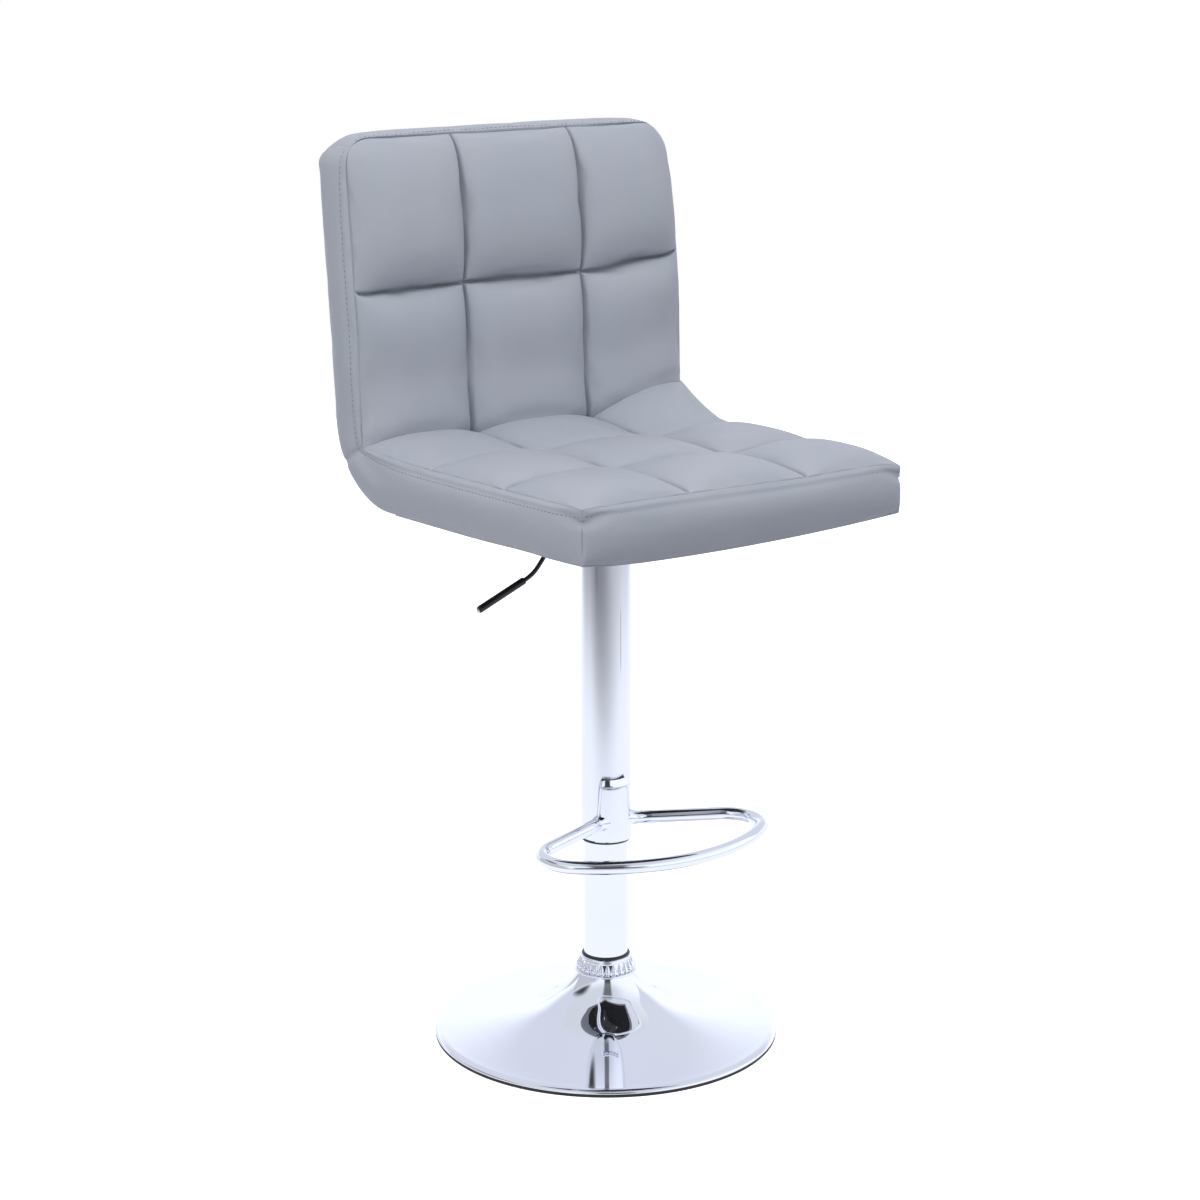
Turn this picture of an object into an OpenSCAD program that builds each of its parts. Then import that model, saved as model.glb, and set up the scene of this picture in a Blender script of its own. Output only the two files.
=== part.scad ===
// Swivel bar stool: trumpet base, telescopic column on a gas spring, D-shaped footrest,
// release lever and an upholstered L-shaped seat with tufted seat and back panels.
// Z is up, the column's axis stands on the origin and the sitter looks towards -Y.

/* [Base] */
// Outer diameter of the base
base_d = 390; // [340:5:440]
// Height of the base's neck above the floor
base_h = 75; // [66:1:90]
// Height that the trumpet curve would reach at the rim
rim_rise = 7.7; // [7:0.1:9]
// Radial width of the rolled rim
rim_w = 9; // [6:1:14]
// Sheet thickness of the base shell
shell_t = 1.5; // [1:0.1:2]
// Height of the floor ring
ring_h = 4; // [3:0.5:5]
// Radial width of the floor ring
ring_w = 12; // [8:1:20]
// Thickness of the bottom plate
bottom_t = 2; // [1:0.5:3]
// Radius of the service hole in the bottom plate
service_r = 12; // [10:1:20]
// Thickness of the weight plate
weight_t = 5; // [3:0.5:8]
// Wall of the hub socket
hub_t = 4.5; // [3:0.5:6]

/* [Collar] */
// Height of the beaded collar
collar_h = 20; // [19:1:26]
// Overlap of the collar over the neck
collar_lap = 3; // [2:0.5:5]
// Radius of the collar's barrel
collar_r = 32.8; // [32.5:0.1:36]
// Width of the flange beyond the barrel
flange_w = 2.7; // [1.5:0.1:4]
// Height of the flange
flange_h = 3; // [2:0.5:4]
// Number of drops around the collar
drop_count = 26; // [16:1:28]
// Height of one drop
drop_h = 12; // [10:0.5:13]
// Radius of one drop at its widest
drop_r = 3.4; // [2:0.1:3.6]
// Radius of the dust ring
dust_ring_r = 28.5; // [27:0.5:32]
// Height of the dust ring
dust_ring_h = 4; // [2:0.5:6]

/* [Column] */
// Outer diameter of the stand tube
stand_d = 50; // [46:1:52]
// Wall of the stand tube
stand_t = 2; // [1.5:0.1:3]
// Height of the stand tube's upper end
stand_top = 390; // [370:5:400]
// Outer diameter of the upper tube
upper_d = 56; // [55:0.5:60]
// Wall of the upper tube
upper_t = 1.5; // [1:0.1:2]
// Height of the upper tube's lower end, with the seat in mid stroke
upper_bottom = 233; // [226:1:245]
// Height of the upper tube's upper end
upper_top = 575; // [560:1:578]
// Height of the lower bush's lip
bush_lip_h = 3; // [2:0.5:5]
// Length of the lower bush inside the upper tube
lower_bush_h = 20; // [12:1:30]
// Length of the guide bush inside the stand tube
guide_bush_h = 55; // [40:1:80]
// Height of the guide bush's lip
guide_lip_h = 3; // [2:0.5:5]
// Length of the collet in the upper tube
collet_h = 20; // [12:1:30]
// Height of the collet's lip
collet_lip_h = 2; // [1:0.5:4]
// Running clearance of a shaft in its bush, on the radius
run_fit = 0.06; // [0.03:0.01:0.09]
// Small gap between pieces that don't run on each other
small_gap = 0.3; // [0.2:0.05:0.5]

/* [Gas spring] */
// How far the seat rises from the drawn height
lift_up = 85; // [60:5:90]
// Outer diameter of the gas cylinder
cyl_d = 28; // [26:1:30]
// Wall of the gas cylinder
cyl_t = 1.5; // [1:0.1:2]
// Diameter of the piston rod
rod_d = 10; // [8:1:12]
// Height of the piston's lower face
piston_z = 288; // [280:1:295]
// Height of the piston
piston_h = 14; // [10:1:20]
// Height of the piston nut
piston_nut_h = 5; // [4:0.5:7]
// Height of the rod guide
rod_guide_h = 16; // [10:1:20]
// Spare stroke at each end
end_gap = 8; // [4:1:12]
// Length of the cylinder's tapered head
taper_h = 28; // [22:1:32]
// How much the tapered head shrinks on the radius
taper_in = 0.8; // [0.4:0.1:1.2]
// Diameter of the release pin
pin_d = 6; // [5:0.5:7]
// How far the release pin stands out of the cylinder
pin_out = 5; // [4.5:0.1:6]
// Length of the release pin
pin_len = 30; // [24:1:34]
// Depth of the valve body
valve_h = 35; // [32:1:45]

/* [Swivel bearing] */
// Height of the tube floor's lower face
floor_z = 15.5; // [14:0.5:20]
// Thickness of the tube floor
floor_t = 4; // [3:0.5:6]
// Radius of the rod's lower end
shank_r = 4; // [3.5:0.1:4.5]
// Thickness of a bearing race
race_t = 2.5; // [2:0.1:4]
// Outer radius of the races
race_r = 13; // [12:0.5:16]
// Radius of a bearing ball
ball_r = 1.6; // [1.4:0.1:2]
// Number of bearing balls
ball_count = 10; // [8:1:12]
// Thickness of the ball cage
cage_t = 1.4; // [1:0.1:1.6]
// Thickness of the rod clip
clip_t = 2; // [1:0.1:2.5]
// Outer radius of the rod clip
clip_r = 8; // [7:0.5:10]

/* [Footrest] */
// Height of the loop's centre line
foot_z = 255; // [250:1:270]
// Turn of the loop about the column
foot_turn = -6; // [-20:1:20]
// Outer diameter of the loop's tube
foot_d = 15; // [12:0.5:18]
// Wall of the loop's tube
foot_t = 1.5; // [1:0.1:2]
// Distance of the loop's front from the column's axis
foot_reach = 173; // [165:1:185]
// Radius of the loop's front arc
foot_front_r = 188; // [180:1:200]
// Radius of the loop's corners
foot_corner_r = 40; // [35:1:45]
// Half distance between the corner centres
foot_corner_x = 96; // [90:1:100]
// Angle of the arms towards the front
foot_arm_angle = 24.5; // [20:0.5:30]
// Turn of the saddle about the column
saddle_turn = -14; // [-20:1:0]
// Thickness of the saddle
saddle_t = 3; // [2:0.1:4]
// Height of the saddle's upper edge
saddle_top = 306; // [300:1:315]
// Half width of the saddle at its foot
saddle_low_w = 22; // [18:0.5:24]
// Half width of the saddle at its upper edge
saddle_high_w = 16.5; // [12:0.5:18]
// Height of the sloped upper edge
saddle_slope_h = 8; // [4:1:12]

/* [Seat plate] */
// Side of the square seat plate
plate_w = 170; // [160:5:200]
// Thickness of the seat plate
plate_t = 2.5; // [2:0.1:3]
// Corner radius of the seat plate
plate_r = 14; // [8:1:20]
// Depth of the plate's turned-down edges
plate_flange_h = 12; // [8:1:16]
// Distance of a bolt from the plate's flat side edge
bolt_side_edge = 17; // [14:1:22]
// Distance of a bolt from the plate's turned-down edge
bolt_flange_edge = 23; // [18:1:30]
// Radius of the bolt's shank
bolt_r = 3; // [2.5:0.5:3.5]
// Height of the bolt's head
bolt_head_h = 4; // [3:0.5:5]
// Radius of the bolt's head over its corners
bolt_head_r = 5.8; // [5:0.1:7]
// Wall of the taper socket
socket_t = 5; // [4:0.5:7]
// Height of the taper socket
socket_h = 32; // [30:1:35]
// Room between the cylinder's head and the plate
valve_room = 14; // [13.5:0.5:15]

/* [Lever] */
// Radius of the lever's rod
lever_r = 2.5; // [2:0.1:3]
// Distance of the pivot from the column's axis
pivot_x = 34; // [30:1:40]
// Drop of the pivot below the plate
pivot_drop = 9.5; // [9:0.1:10.5]
// Radius of the lever's pivot barrel
barrel_r = 5; // [4.5:0.1:6]
// Length of the lever's pivot barrel
barrel_w = 12; // [10:0.5:16]
// Radius of the pivot pin
pivot_pin_r = 2; // [1.5:0.1:2.5]
// Thickness of the bracket's ears
ear_t = 2; // [1.5:0.1:3]
// Width of the bracket along the lever
ear_w = 16; // [14:1:20]
// Radius of the grip
grip_r = 4; // [3.5:0.1:6]
// Length of the grip
grip_len = 66; // [50:1:80]
// Angle of the grip below the level
grip_angle = 20.3; // [15:0.5:25]
// Reach of the bend before the grip
bend_x = 100; // [95:1:110]
// Drop of the bend before the grip, below the plate
bend_drop = 65; // [60:1:70]
// Reach of the knee under the plate's edge
knee_x = 66; // [60:1:70]
// Drop of the knee below the plate
knee_drop = 25; // [22:1:30]

/* [Upholstery] */
// Width of the seat
seat_w = 436; // [400:2:480]
// Height of the seat's underside
seat_under = 615; // [612:1:625]
// Height of the seat's boxing
seat_box = 60; // [50:1:75]
// Distance of the seat's front from the column's axis
seat_front = 236; // [220:2:250]
// Distance of the back's face behind the column's axis, at the seat's seam
face_back = 149; // [135:1:165]
// Height of the back's top
back_top = 1008; // [960:2:1040]
// Thickness of the back's boxing
back_t = 47; // [42:1:60]
// Recline of the back
recline = 5; // [0:0.5:10]
// Outer radius of the rear corner
corner_r = 110; // [90:5:120]
// Radius of the back's rear top edge
top_r = 28; // [20:1:34]
// Radius of the back's top corners, seen from the front
top_corner_r = 32; // [20:1:45]
// Thickness of the covers
cover_t = 2.5; // [2:0.1:3]
// Thickness of the plywood shell
ply_t = 10; // [8:0.5:12]
// Distance of the plywood's upper end below the back's top
ply_short = 43; // [38:1:60]
// Thickness of the black cloth under the seat
dust_t = 1; // [0.6:0.1:1.5]
// Flat thickness of a tufted panel at its seams
quilt_t = 12; // [8:0.5:16]
// Crown of the seat's cells
seat_crown = 18; // [10:1:24]
// Crown of the back's cells
back_crown = 22; // [10:1:28]
// How far a tufted panel draws in at its channels
draw_in = 1.5; // [0.5:0.1:3]
// Steps of the crown's mesh in one cell
cell_steps = 9; // [6:1:10]

/* [Hidden] */
$fn = 96;
cut = 1;
// How far a thread stands out of its nut
thread_out = 1;

// Base and column
base_r = base_d / 2;
stand_r = stand_d / 2;
stand_in_r = stand_r - stand_t;
hub_r = stand_r + hub_t;
neck_r = hub_r + shell_t;
rim_start_r = base_r - rim_w;
trumpet_k = (base_h - rim_rise) / (1 / neck_r - 1 / base_r);
upper_r = upper_d / 2;
upper_in_r = upper_r - upper_t;
collar_z = base_h - collar_lap;
collar_top = collar_z + collar_h;
flange_in_r = trumpet_r(collar_z) + small_gap;
hub_top = collar_z;
weight_r = trumpet_r(ring_h + weight_t + 2 * shell_t);
weight_in_r = hub_r + hub_t;
trumpet_steps = 20;
rim_steps = 6;
// A drop is a ball with a cone on it: the cone's lean and the radius of its tip
drop_lean = 19.3;
drop_tip_r = 0.4;
drop_cone_z = drop_r * (1 + sin(drop_lean));
drop_foot = flange_h + small_gap;
drop_sink = 0.7;
collar_shoulder_h = collar_h - drop_h - drop_foot;

// Gas spring
cyl_r = cyl_d / 2;
bore_r = cyl_r - cyl_t;
rod_r = rod_d / 2;
stub_share = 0.68;
piston_stub_r = stub_share * rod_r;
piston_top = piston_z + piston_h;
rod_top = piston_top + piston_nut_h + thread_out;
cyl_bottom = piston_z - lift_up - rod_guide_h - end_gap;
under_z = seat_under + cover_t;
plate_top = under_z - dust_t;
plate_z = plate_top - plate_t;
bolt_x = plate_w / 2 - bolt_side_edge;
bolt_y = plate_w / 2 - bolt_flange_edge;
cyl_top = plate_z - valve_room;
taper_z = cyl_top - taper_h;
head_r = cyl_r - taper_in;
head_t = cyl_t;
valve_z = cyl_top - valve_h;
pin_r = pin_d / 2;
pin_top = cyl_top + pin_out;
pin_bottom = pin_top - pin_len;
pin_hole_z = pin_bottom - pin_out;

// Swivel bearing
floor_top = floor_z + floor_t;
race_z = floor_top + race_t;
race_play = 1.2;
race_in_r = shank_r + race_play;
upper_race_z = race_z + 2 * ball_r + small_gap;
shoulder_z = upper_race_z + race_t;
clip_z = floor_z - small_gap - clip_t;
shank_z = clip_z - clip_t;
ball_ring_r = (race_in_r + race_r) / 2;
cage_w = 2 * ball_r + 2 * cage_t;

// Footrest
foot_r = foot_d / 2;
foot_arc_y = foot_front_r - foot_reach;
foot_corner_y = foot_arc_y - sqrt(pow(foot_front_r - foot_corner_r, 2) - pow(foot_corner_x, 2));
foot_tangent = atan2(foot_corner_y - foot_arc_y, foot_corner_x);
foot_arm_end = 90 - foot_arm_angle;
arm_x = foot_corner_x + foot_corner_r * cos(foot_arm_end);
arm_y = foot_corner_y + foot_corner_r * sin(foot_arm_end);
arm_len = arm_x * cos(foot_arm_angle) - arm_y * sin(foot_arm_angle) - upper_r + foot_r;
foot_sides = 16;
foot_corner_steps = 9;
foot_front_steps = 14;
foot_right = concat(
    [[arm_x - arm_len * cos(foot_arm_angle), arm_y + arm_len * sin(foot_arm_angle), foot_arm_end]],
    [for (i = [0 : foot_corner_steps])
        let (a = foot_arm_end + (foot_tangent - foot_arm_end) * i / foot_corner_steps)
        [foot_corner_x + foot_corner_r * cos(a), foot_corner_y + foot_corner_r * sin(a), a]]);
foot_front = [for (i = [1 : foot_front_steps - 1])
    let (a = foot_tangent - (180 + 2 * foot_tangent) * i / foot_front_steps)
    [foot_front_r * cos(a), foot_arc_y + foot_front_r * sin(a), a]];
foot_left = [for (s = flip(foot_right)) [-s[0], s[1], -180 - s[2]]];
foot_stations = concat(foot_right, foot_front, foot_left);
saddle_chamfer = saddle_slope_h / 2;
saddle_edge_t = saddle_t / 2;

// Lever, as places in the plane of the lever: distance from the axis and height
lever_pivot = [pivot_x, plate_z - pivot_drop];
lever_slope = (pin_top + small_gap + lever_r - lever_pivot[1]) / (pivot_x - pin_r);
lever_tip = [-pin_r, lever_pivot[1] + lever_slope * (pivot_x + pin_r)];
lever_knee = [knee_x, plate_z - knee_drop];
lever_bend = [bend_x, plate_z - bend_drop];
grip_way = [cos(grip_angle), -sin(grip_angle)];
grip_lead = 13.2;
grip_cap = 5.5;
grip_start = lever_bend + grip_lead * grip_way;
grip_end = grip_start + grip_len * grip_way;
grip_rod_end = grip_end - grip_cap * grip_way;
knuckle_r = lever_r + run_fit;
slot_play = 1.5;
slot_w = 2 * (lever_r + slot_play);
ear_inner = barrel_w / 2 + small_gap;
web_t = plate_t / 2;
ear_lap = 1;
ear_low = lever_pivot[1] - barrel_r - ear_lap;
pin_head_share = 1.75;
pin_head_r = pin_head_share * pivot_pin_r;
pin_head_t = pivot_pin_r / 2;

// Upholstery
half_w = seat_w / 2;
inner_w = seat_w - 2 * cover_t;
seat_top = seat_under + seat_box;
front_y = -seat_front;
inner_front = front_y + cover_t;
corner_z = seat_under + corner_r;
corner_y = rear_y(corner_z) - corner_r / cos(recline);
top_arc_z = back_top - top_r;
top_arc_y = rear_y(top_arc_z) - top_r / cos(recline);
ply_top = back_top - ply_short;
quilt_z = seat_top - quilt_t;
seam_gap = 1.5;
quilt_foot_z = seat_top + seam_gap;
top_corner_z = back_top - top_corner_r;
arc_steps = 14;
window_in = 24;
window_w = seat_w - 2 * window_in;
window_play = 2;
window_front = front_y + window_in;
window_rear = plate_w / 2 + window_play;
tee_flange_r = 9;
tee_flange_t = 1;
tee_wall = 1;
tee_barrel_r = bolt_r + tee_wall;
tee_room = 2;
seat_len = face_y(seat_top) - seam_gap - inner_front;
back_len = (back_top - cover_t - small_gap - quilt_foot_z - quilt_t * sin(recline)) / cos(recline);
// Borders of the columns and rows of cells, as shares of the panel
column_shares = [0, 0.317, 0.683, 1];
seat_row_shares = [0, 0.333, 0.667, 1];
back_row_shares = [0, 0.51, 1];
crown_power_share = 0.7;

// Trumpet: height of the shell's outside at a radius, and the radius at a height
function trumpet_z(r) = rim_rise + trumpet_k * (1 / r - 1 / base_r);
function trumpet_r(z) = 1 / ((z - rim_rise) / trumpet_k + 1 / base_r);
function trumpet_normal(r) = let (s = trumpet_k / (r * r)) [s, 1] / sqrt(1 + s * s);
// Points of the shell at a depth under its outside, from the neck to the floor ring
function trumpet_points(depth) = concat(
    [for (i = [0 : trumpet_steps])
        let (r = neck_r * pow(rim_start_r / neck_r, i / trumpet_steps))
        [r, trumpet_z(r)] - depth * trumpet_normal(r)],
    [for (i = [1 : rim_steps])
        let (a = 90 * i / rim_steps, h = trumpet_z(rim_start_r) - ring_h - depth)
        [rim_start_r + (rim_w - depth) * sin(a), ring_h + h * cos(a)]]);
function flip(points) = [for (i = [len(points) - 1 : -1 : 0]) points[i]];

// Upholstery outlines in the side view, as [y, z]
function face_y(z) = face_back + (z - seat_top) * tan(recline);
function quilt_back_y(z) = face_y(z) + quilt_t / cos(recline);
function rear_y(z) = face_y(z) + back_t / cos(recline);
function arc(y, z, r, from, to) = [for (i = [0 : arc_steps])
    let (a = from + (to - from) * i / arc_steps) [y + r * cos(a), z + r * sin(a)]];
// Outer line of the L at a depth under its outside: underside and rear corner, then the top edge
function under_line(depth) = concat([[inner_front, seat_under + depth]],
    arc(corner_y, corner_z, corner_r - depth, -90, -recline));
function top_line(depth) = concat(arc(top_arc_y, top_arc_z, top_r - depth, -recline, 90),
    [[face_y(back_top), back_top - depth]]);

// Tufted panels: mesh lines through every cell, the crown in a cell and its place in the panel
function mesh_lines(cuts) = concat([for (c = [0 : len(cuts) - 2]) for (i = [0 : cell_steps - 1])
    cuts[c] + (cuts[c + 1] - cuts[c]) * i / cell_steps], [1]);
function swell(i) = pow(max(0, sin(180 * (i % cell_steps) / cell_steps)), crown_power_share);

// Lays a side-view outline along X
module along_x(width) {
    rotate([90, 0, 90]) linear_extrude(width, center = true) children();
}

// A ring about the column's axis
module ring(outer, inner, height) {
    rotate_extrude() translate([inner, 0]) square([outer - inner, height]);
}

// A disc with a round hole
module washer(outer, inner, height) {
    difference() {
        cylinder(r = outer, h = height);
        translate([0, 0, -cut]) cylinder(r = inner, h = height + 2 * cut);
    }
}

// A straight round rod between two places in the lever's plane
module lever_part(from, to, r) {
    d = to - from;
    translate([-from[0], 0, from[1]]) rotate([0, -atan2(d[0], d[1]), 0]) cylinder(r = r, h = norm(d));
}

module base_shell() {
    color("gainsboro") rotate_extrude()
        polygon(concat(trumpet_points(0), flip(trumpet_points(shell_t))));
}

module floor_ring() {
    color("black") ring(base_r, base_r - ring_w, ring_h);
}

module bottom_plate() {
    color("dimgray") translate([0, 0, ring_h - bottom_t]) ring(base_r - ring_w, service_r, bottom_t);
}

module weight_plate() {
    color("gray") translate([0, 0, ring_h]) ring(weight_r, weight_in_r, weight_t);
}

module hub_socket() {
    color("darkgray") translate([0, 0, ring_h]) ring(hub_r, stand_r, hub_top - ring_h);
}

module stand_tube() {
    color("silver") translate([0, 0, ring_h]) ring(stand_r, stand_in_r, stand_top - ring_h);
}

module drop() {
    translate([0, 0, drop_r]) sphere(r = drop_r);
    translate([0, 0, drop_cone_z])
        cylinder(r1 = drop_r * cos(drop_lean), r2 = drop_tip_r, h = drop_h - drop_cone_z);
}

module collar() {
    color("silver") translate([0, 0, collar_z]) union() {
        rotate_extrude() polygon([
            [flange_in_r, 0],
            [collar_r + flange_w, 0],
            [collar_r + flange_w, flange_h],
            [collar_r, flange_h],
            [collar_r, flange_h + drop_h],
            [collar_r - collar_shoulder_h, collar_h],
            [stand_r, collar_h],
            [stand_r, collar_lap + small_gap],
            [flange_in_r, collar_lap + small_gap]]);
        for (i = [0 : drop_count - 1])
            rotate([0, 0, 360 * i / drop_count]) translate([collar_r - drop_sink, 0, drop_foot]) drop();
    }
}

module dust_ring() {
    color("black") translate([0, 0, collar_top]) ring(dust_ring_r, stand_r, dust_ring_h);
}

module guide_bush() {
    color("dimgray") translate([0, 0, stand_top - guide_bush_h]) rotate_extrude() polygon([
        [cyl_r + run_fit, 0],
        [stand_in_r, 0],
        [stand_in_r, guide_bush_h],
        [stand_r, guide_bush_h],
        [stand_r, guide_bush_h + guide_lip_h],
        [cyl_r + run_fit, guide_bush_h + guide_lip_h]]);
}

module tube_floor() {
    color("gray") translate([0, 0, floor_z]) washer(stand_in_r, shank_r + run_fit, floor_t);
}

module lower_race() {
    color("lightgray") translate([0, 0, floor_top]) washer(race_r, race_in_r, race_t);
}

module thrust_bearing() {
    color("goldenrod") translate([0, 0, race_z + ball_r]) union() {
        translate([0, 0, -cage_t / 2])
            washer(ball_ring_r + cage_w / 2, ball_ring_r - cage_w / 2, cage_t);
        for (i = [0 : ball_count - 1])
            rotate([0, 0, 360 * i / ball_count]) translate([ball_ring_r, 0, 0]) sphere(r = ball_r);
    }
}

module upper_race() {
    color("lightgray") translate([0, 0, upper_race_z]) washer(race_r, shank_r, race_t);
}

module piston_rod() {
    color("silver") rotate_extrude() polygon([
        [0, shank_z],
        [shank_r, shank_z],
        [shank_r, shoulder_z],
        [rod_r, shoulder_z],
        [rod_r, piston_z],
        [piston_stub_r, piston_z],
        [piston_stub_r, rod_top],
        [0, rod_top]]);
}

module piston() {
    color("gray") translate([0, 0, piston_z]) washer(bore_r - run_fit, piston_stub_r, piston_h);
}

module piston_nut() {
    color("silver") translate([0, 0, piston_top]) difference() {
        cylinder(r = 2 * piston_stub_r, h = piston_nut_h, $fn = 6);
        translate([0, 0, -cut]) cylinder(r = piston_stub_r, h = piston_nut_h + 2 * cut);
    }
}

module rod_clip() {
    color("dimgray") translate([0, 0, clip_z]) washer(clip_r, shank_r, clip_t);
}

module gas_cylinder() {
    color("dimgray") rotate_extrude() polygon([
        [bore_r, cyl_bottom],
        [cyl_r, cyl_bottom],
        [cyl_r, taper_z],
        [head_r, cyl_top],
        [head_r - head_t, cyl_top],
        [bore_r, taper_z]]);
}

module rod_guide() {
    color("black") translate([0, 0, cyl_bottom]) washer(bore_r, rod_r + run_fit, rod_guide_h);
}

module valve_body() {
    color("goldenrod") difference() {
        rotate_extrude() polygon([
            [0, valve_z],
            [bore_r, valve_z],
            [bore_r, taper_z],
            [head_r - head_t, cyl_top],
            [0, cyl_top]]);
        translate([0, 0, pin_hole_z]) cylinder(r = pin_r + run_fit, h = valve_h + pin_out);
    }
}

module release_pin() {
    color("silver") translate([0, 0, pin_bottom]) cylinder(r = pin_r, h = pin_len);
}

module upper_tube() {
    color("silver") translate([0, 0, upper_bottom]) ring(upper_r, upper_in_r, upper_top - upper_bottom);
}

module top_collet() {
    color("dimgray") rotate_extrude() polygon([
        [cyl_r, upper_top - collet_h],
        [upper_in_r, upper_top - collet_h],
        [upper_in_r, upper_top],
        [upper_r, upper_top],
        [upper_r, upper_top + collet_lip_h],
        [cyl_r, upper_top + collet_lip_h]]);
}

module lower_bush() {
    color("black") rotate_extrude() polygon([
        [stand_r + run_fit, upper_bottom - bush_lip_h],
        [upper_r, upper_bottom - bush_lip_h],
        [upper_r, upper_bottom],
        [upper_in_r, upper_bottom],
        [upper_in_r, upper_bottom + lower_bush_h],
        [stand_r + run_fit, upper_bottom + lower_bush_h]]);
}

// Tapered tongue on the upper tube, with a sloped upper edge and room for the arms' welds
module footrest_saddle() {
    color("silver") difference() {
        saddle_form(saddle_top - upper_bottom);
        translate([0, 0, foot_z]) rotate([0, 0, foot_turn]) for (side = [0, 1]) mirror([side, 0, 0])
            translate([arm_x, arm_y, 0]) rotate([0, -90, -foot_arm_angle])
                cylinder(r = foot_r + small_gap, h = arm_len);
    }
}

module saddle_form(tall) {
    rotate([0, 0, saddle_turn]) translate([0, 0, upper_bottom]) intersection() {
        rotate_extrude() polygon([
            [upper_r, 0],
            [upper_r + saddle_t, 0],
            [upper_r + saddle_t, tall - saddle_slope_h],
            [upper_r + saddle_edge_t, tall],
            [upper_r, tall]]);
        rotate([90, 0, 0]) linear_extrude(2 * upper_r) polygon([
            [-saddle_low_w, -cut],
            [saddle_low_w, -cut],
            [saddle_high_w, tall - saddle_chamfer],
            [saddle_high_w - saddle_chamfer, tall + cut],
            [saddle_chamfer - saddle_high_w, tall + cut],
            [-saddle_high_w, tall - saddle_chamfer]]);
    }
}

// Round section of the loop's tube at a station: its place in the plan and the angle of its outer side
function foot_section(s, r) = [for (k = [0 : foot_sides - 1]) let (a = 360 * k / foot_sides)
    [s[0] + r * cos(a) * cos(s[2]), s[1] + r * cos(a) * sin(s[2]), r * sin(a)]];

// Tube along the stations, with its bore
module foot_tube() {
    n = foot_sides;
    last = len(foot_stations) - 1;
    bore = n * (last + 1);
    outside = [for (s = foot_stations) each foot_section(s, foot_r)];
    inside = [for (s = foot_stations) each foot_section(s, foot_r - foot_t)];
    polyhedron(points = concat(outside, inside), faces = [
        for (k = [0 : n - 1]) let (m = (k + 1) % n) each concat(
            [for (i = [0 : last - 1]) each [[i * n + k, i * n + m, i * n + n + m],
                [i * n + k, i * n + n + m, i * n + n + k]]],
            [for (i = [0 : last - 1]) each [[bore + i * n + n + m, bore + i * n + m, bore + i * n + k],
                [bore + i * n + n + k, bore + i * n + n + m, bore + i * n + k]]],
            [[m, k, bore + k], [m, bore + k, bore + m]],
            [[last * n + k, last * n + m, bore + last * n + k],
                [last * n + m, bore + last * n + m, bore + last * n + k]])]);
}

module footrest_ring() {
    color("silver") difference() {
        translate([0, 0, foot_z]) rotate([0, 0, foot_turn]) foot_tube();
        translate([0, 0, upper_bottom]) cylinder(r = upper_r, h = saddle_top - upper_bottom);
    }
}

module at_bolts() {
    for (x = [-bolt_x, bolt_x]) for (y = [-bolt_y, bolt_y]) translate([x, y, 0]) children();
}

module seat_plate() {
    color("dimgray") difference() {
        union() {
            translate([0, 0, plate_z]) linear_extrude(plate_t) union() {
                square([plate_w, plate_w - 2 * plate_r], center = true);
                square([plate_w - 2 * plate_r, plate_w], center = true);
                for (x = [-1, 1]) for (y = [-1, 1])
                    translate([x, y] * (plate_w / 2 - plate_r)) circle(r = plate_r);
            }
            for (side = [-1, 1])
                translate([0, side * (plate_w - plate_t) / 2, plate_z - plate_flange_h / 2])
                    cube([plate_w - 2 * plate_r, plate_t, plate_flange_h], center = true);
        }
        translate([0, 0, plate_z - cut]) at_bolts() cylinder(r = bolt_r + small_gap, h = plate_t + 2 * cut);
    }
}

// Socket that grips the tapered head, with a slot for the lever
module taper_socket() {
    color("gray") difference() {
        rotate_extrude() polygon([
            [taper_fit_r(plate_z - socket_h), plate_z - socket_h],
            [cyl_r + socket_t, plate_z - socket_h],
            [cyl_r + socket_t, plate_z],
            [head_r, plate_z],
            [head_r, cyl_top]]);
        translate([-cyl_r - socket_t - cut, -slot_w / 2, lever_pivot[1] - 2 * lever_r])
            cube([cyl_r + socket_t, slot_w, plate_z - lever_pivot[1] + 2 * lever_r + cut]);
    }
}

// Radius of the tapered head at a height
function taper_fit_r(z) = z < taper_z ? cyl_r : cyl_r - taper_in * (z - taper_z) / taper_h;

module lever_bracket() {
    color("gray") difference() {
        union() {
            translate([-pivot_x - ear_w / 2, -ear_inner - ear_t, plate_z - web_t])
                cube([ear_w, 2 * (ear_inner + ear_t), web_t]);
            for (side = [-1, 1])
                translate([-pivot_x, side * (ear_inner + ear_t / 2), (plate_z + ear_low) / 2])
                    cube([ear_w, ear_t, plate_z - ear_low], center = true);
        }
        at_pivot() cylinder(r = pivot_pin_r, h = 4 * barrel_w, center = true);
    }
}

module at_pivot() {
    translate([-lever_pivot[0], 0, lever_pivot[1]]) rotate([90, 0, 0]) children();
}

module lever_pin() {
    color("silver") at_pivot() union() {
        cylinder(r = pivot_pin_r, h = 2 * (ear_inner + ear_t) + pin_head_t, center = true);
        translate([0, 0, ear_inner + ear_t]) cylinder(r = pin_head_r, h = pin_head_t);
    }
}

module lever_rod() {
    color("black") difference() {
        union() {
            lever_part(lever_tip, lever_pivot, lever_r);
            lever_part(lever_pivot, lever_knee, lever_r);
            lever_part(lever_knee, lever_bend, lever_r);
            lever_part(lever_bend, grip_rod_end, lever_r);
            for (p = [lever_knee, lever_bend]) translate([-p[0], 0, p[1]]) sphere(r = knuckle_r);
            at_pivot() cylinder(r = barrel_r, h = barrel_w, center = true);
        }
        at_pivot() cylinder(r = pivot_pin_r + run_fit, h = 2 * barrel_w, center = true);
    }
}

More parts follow.
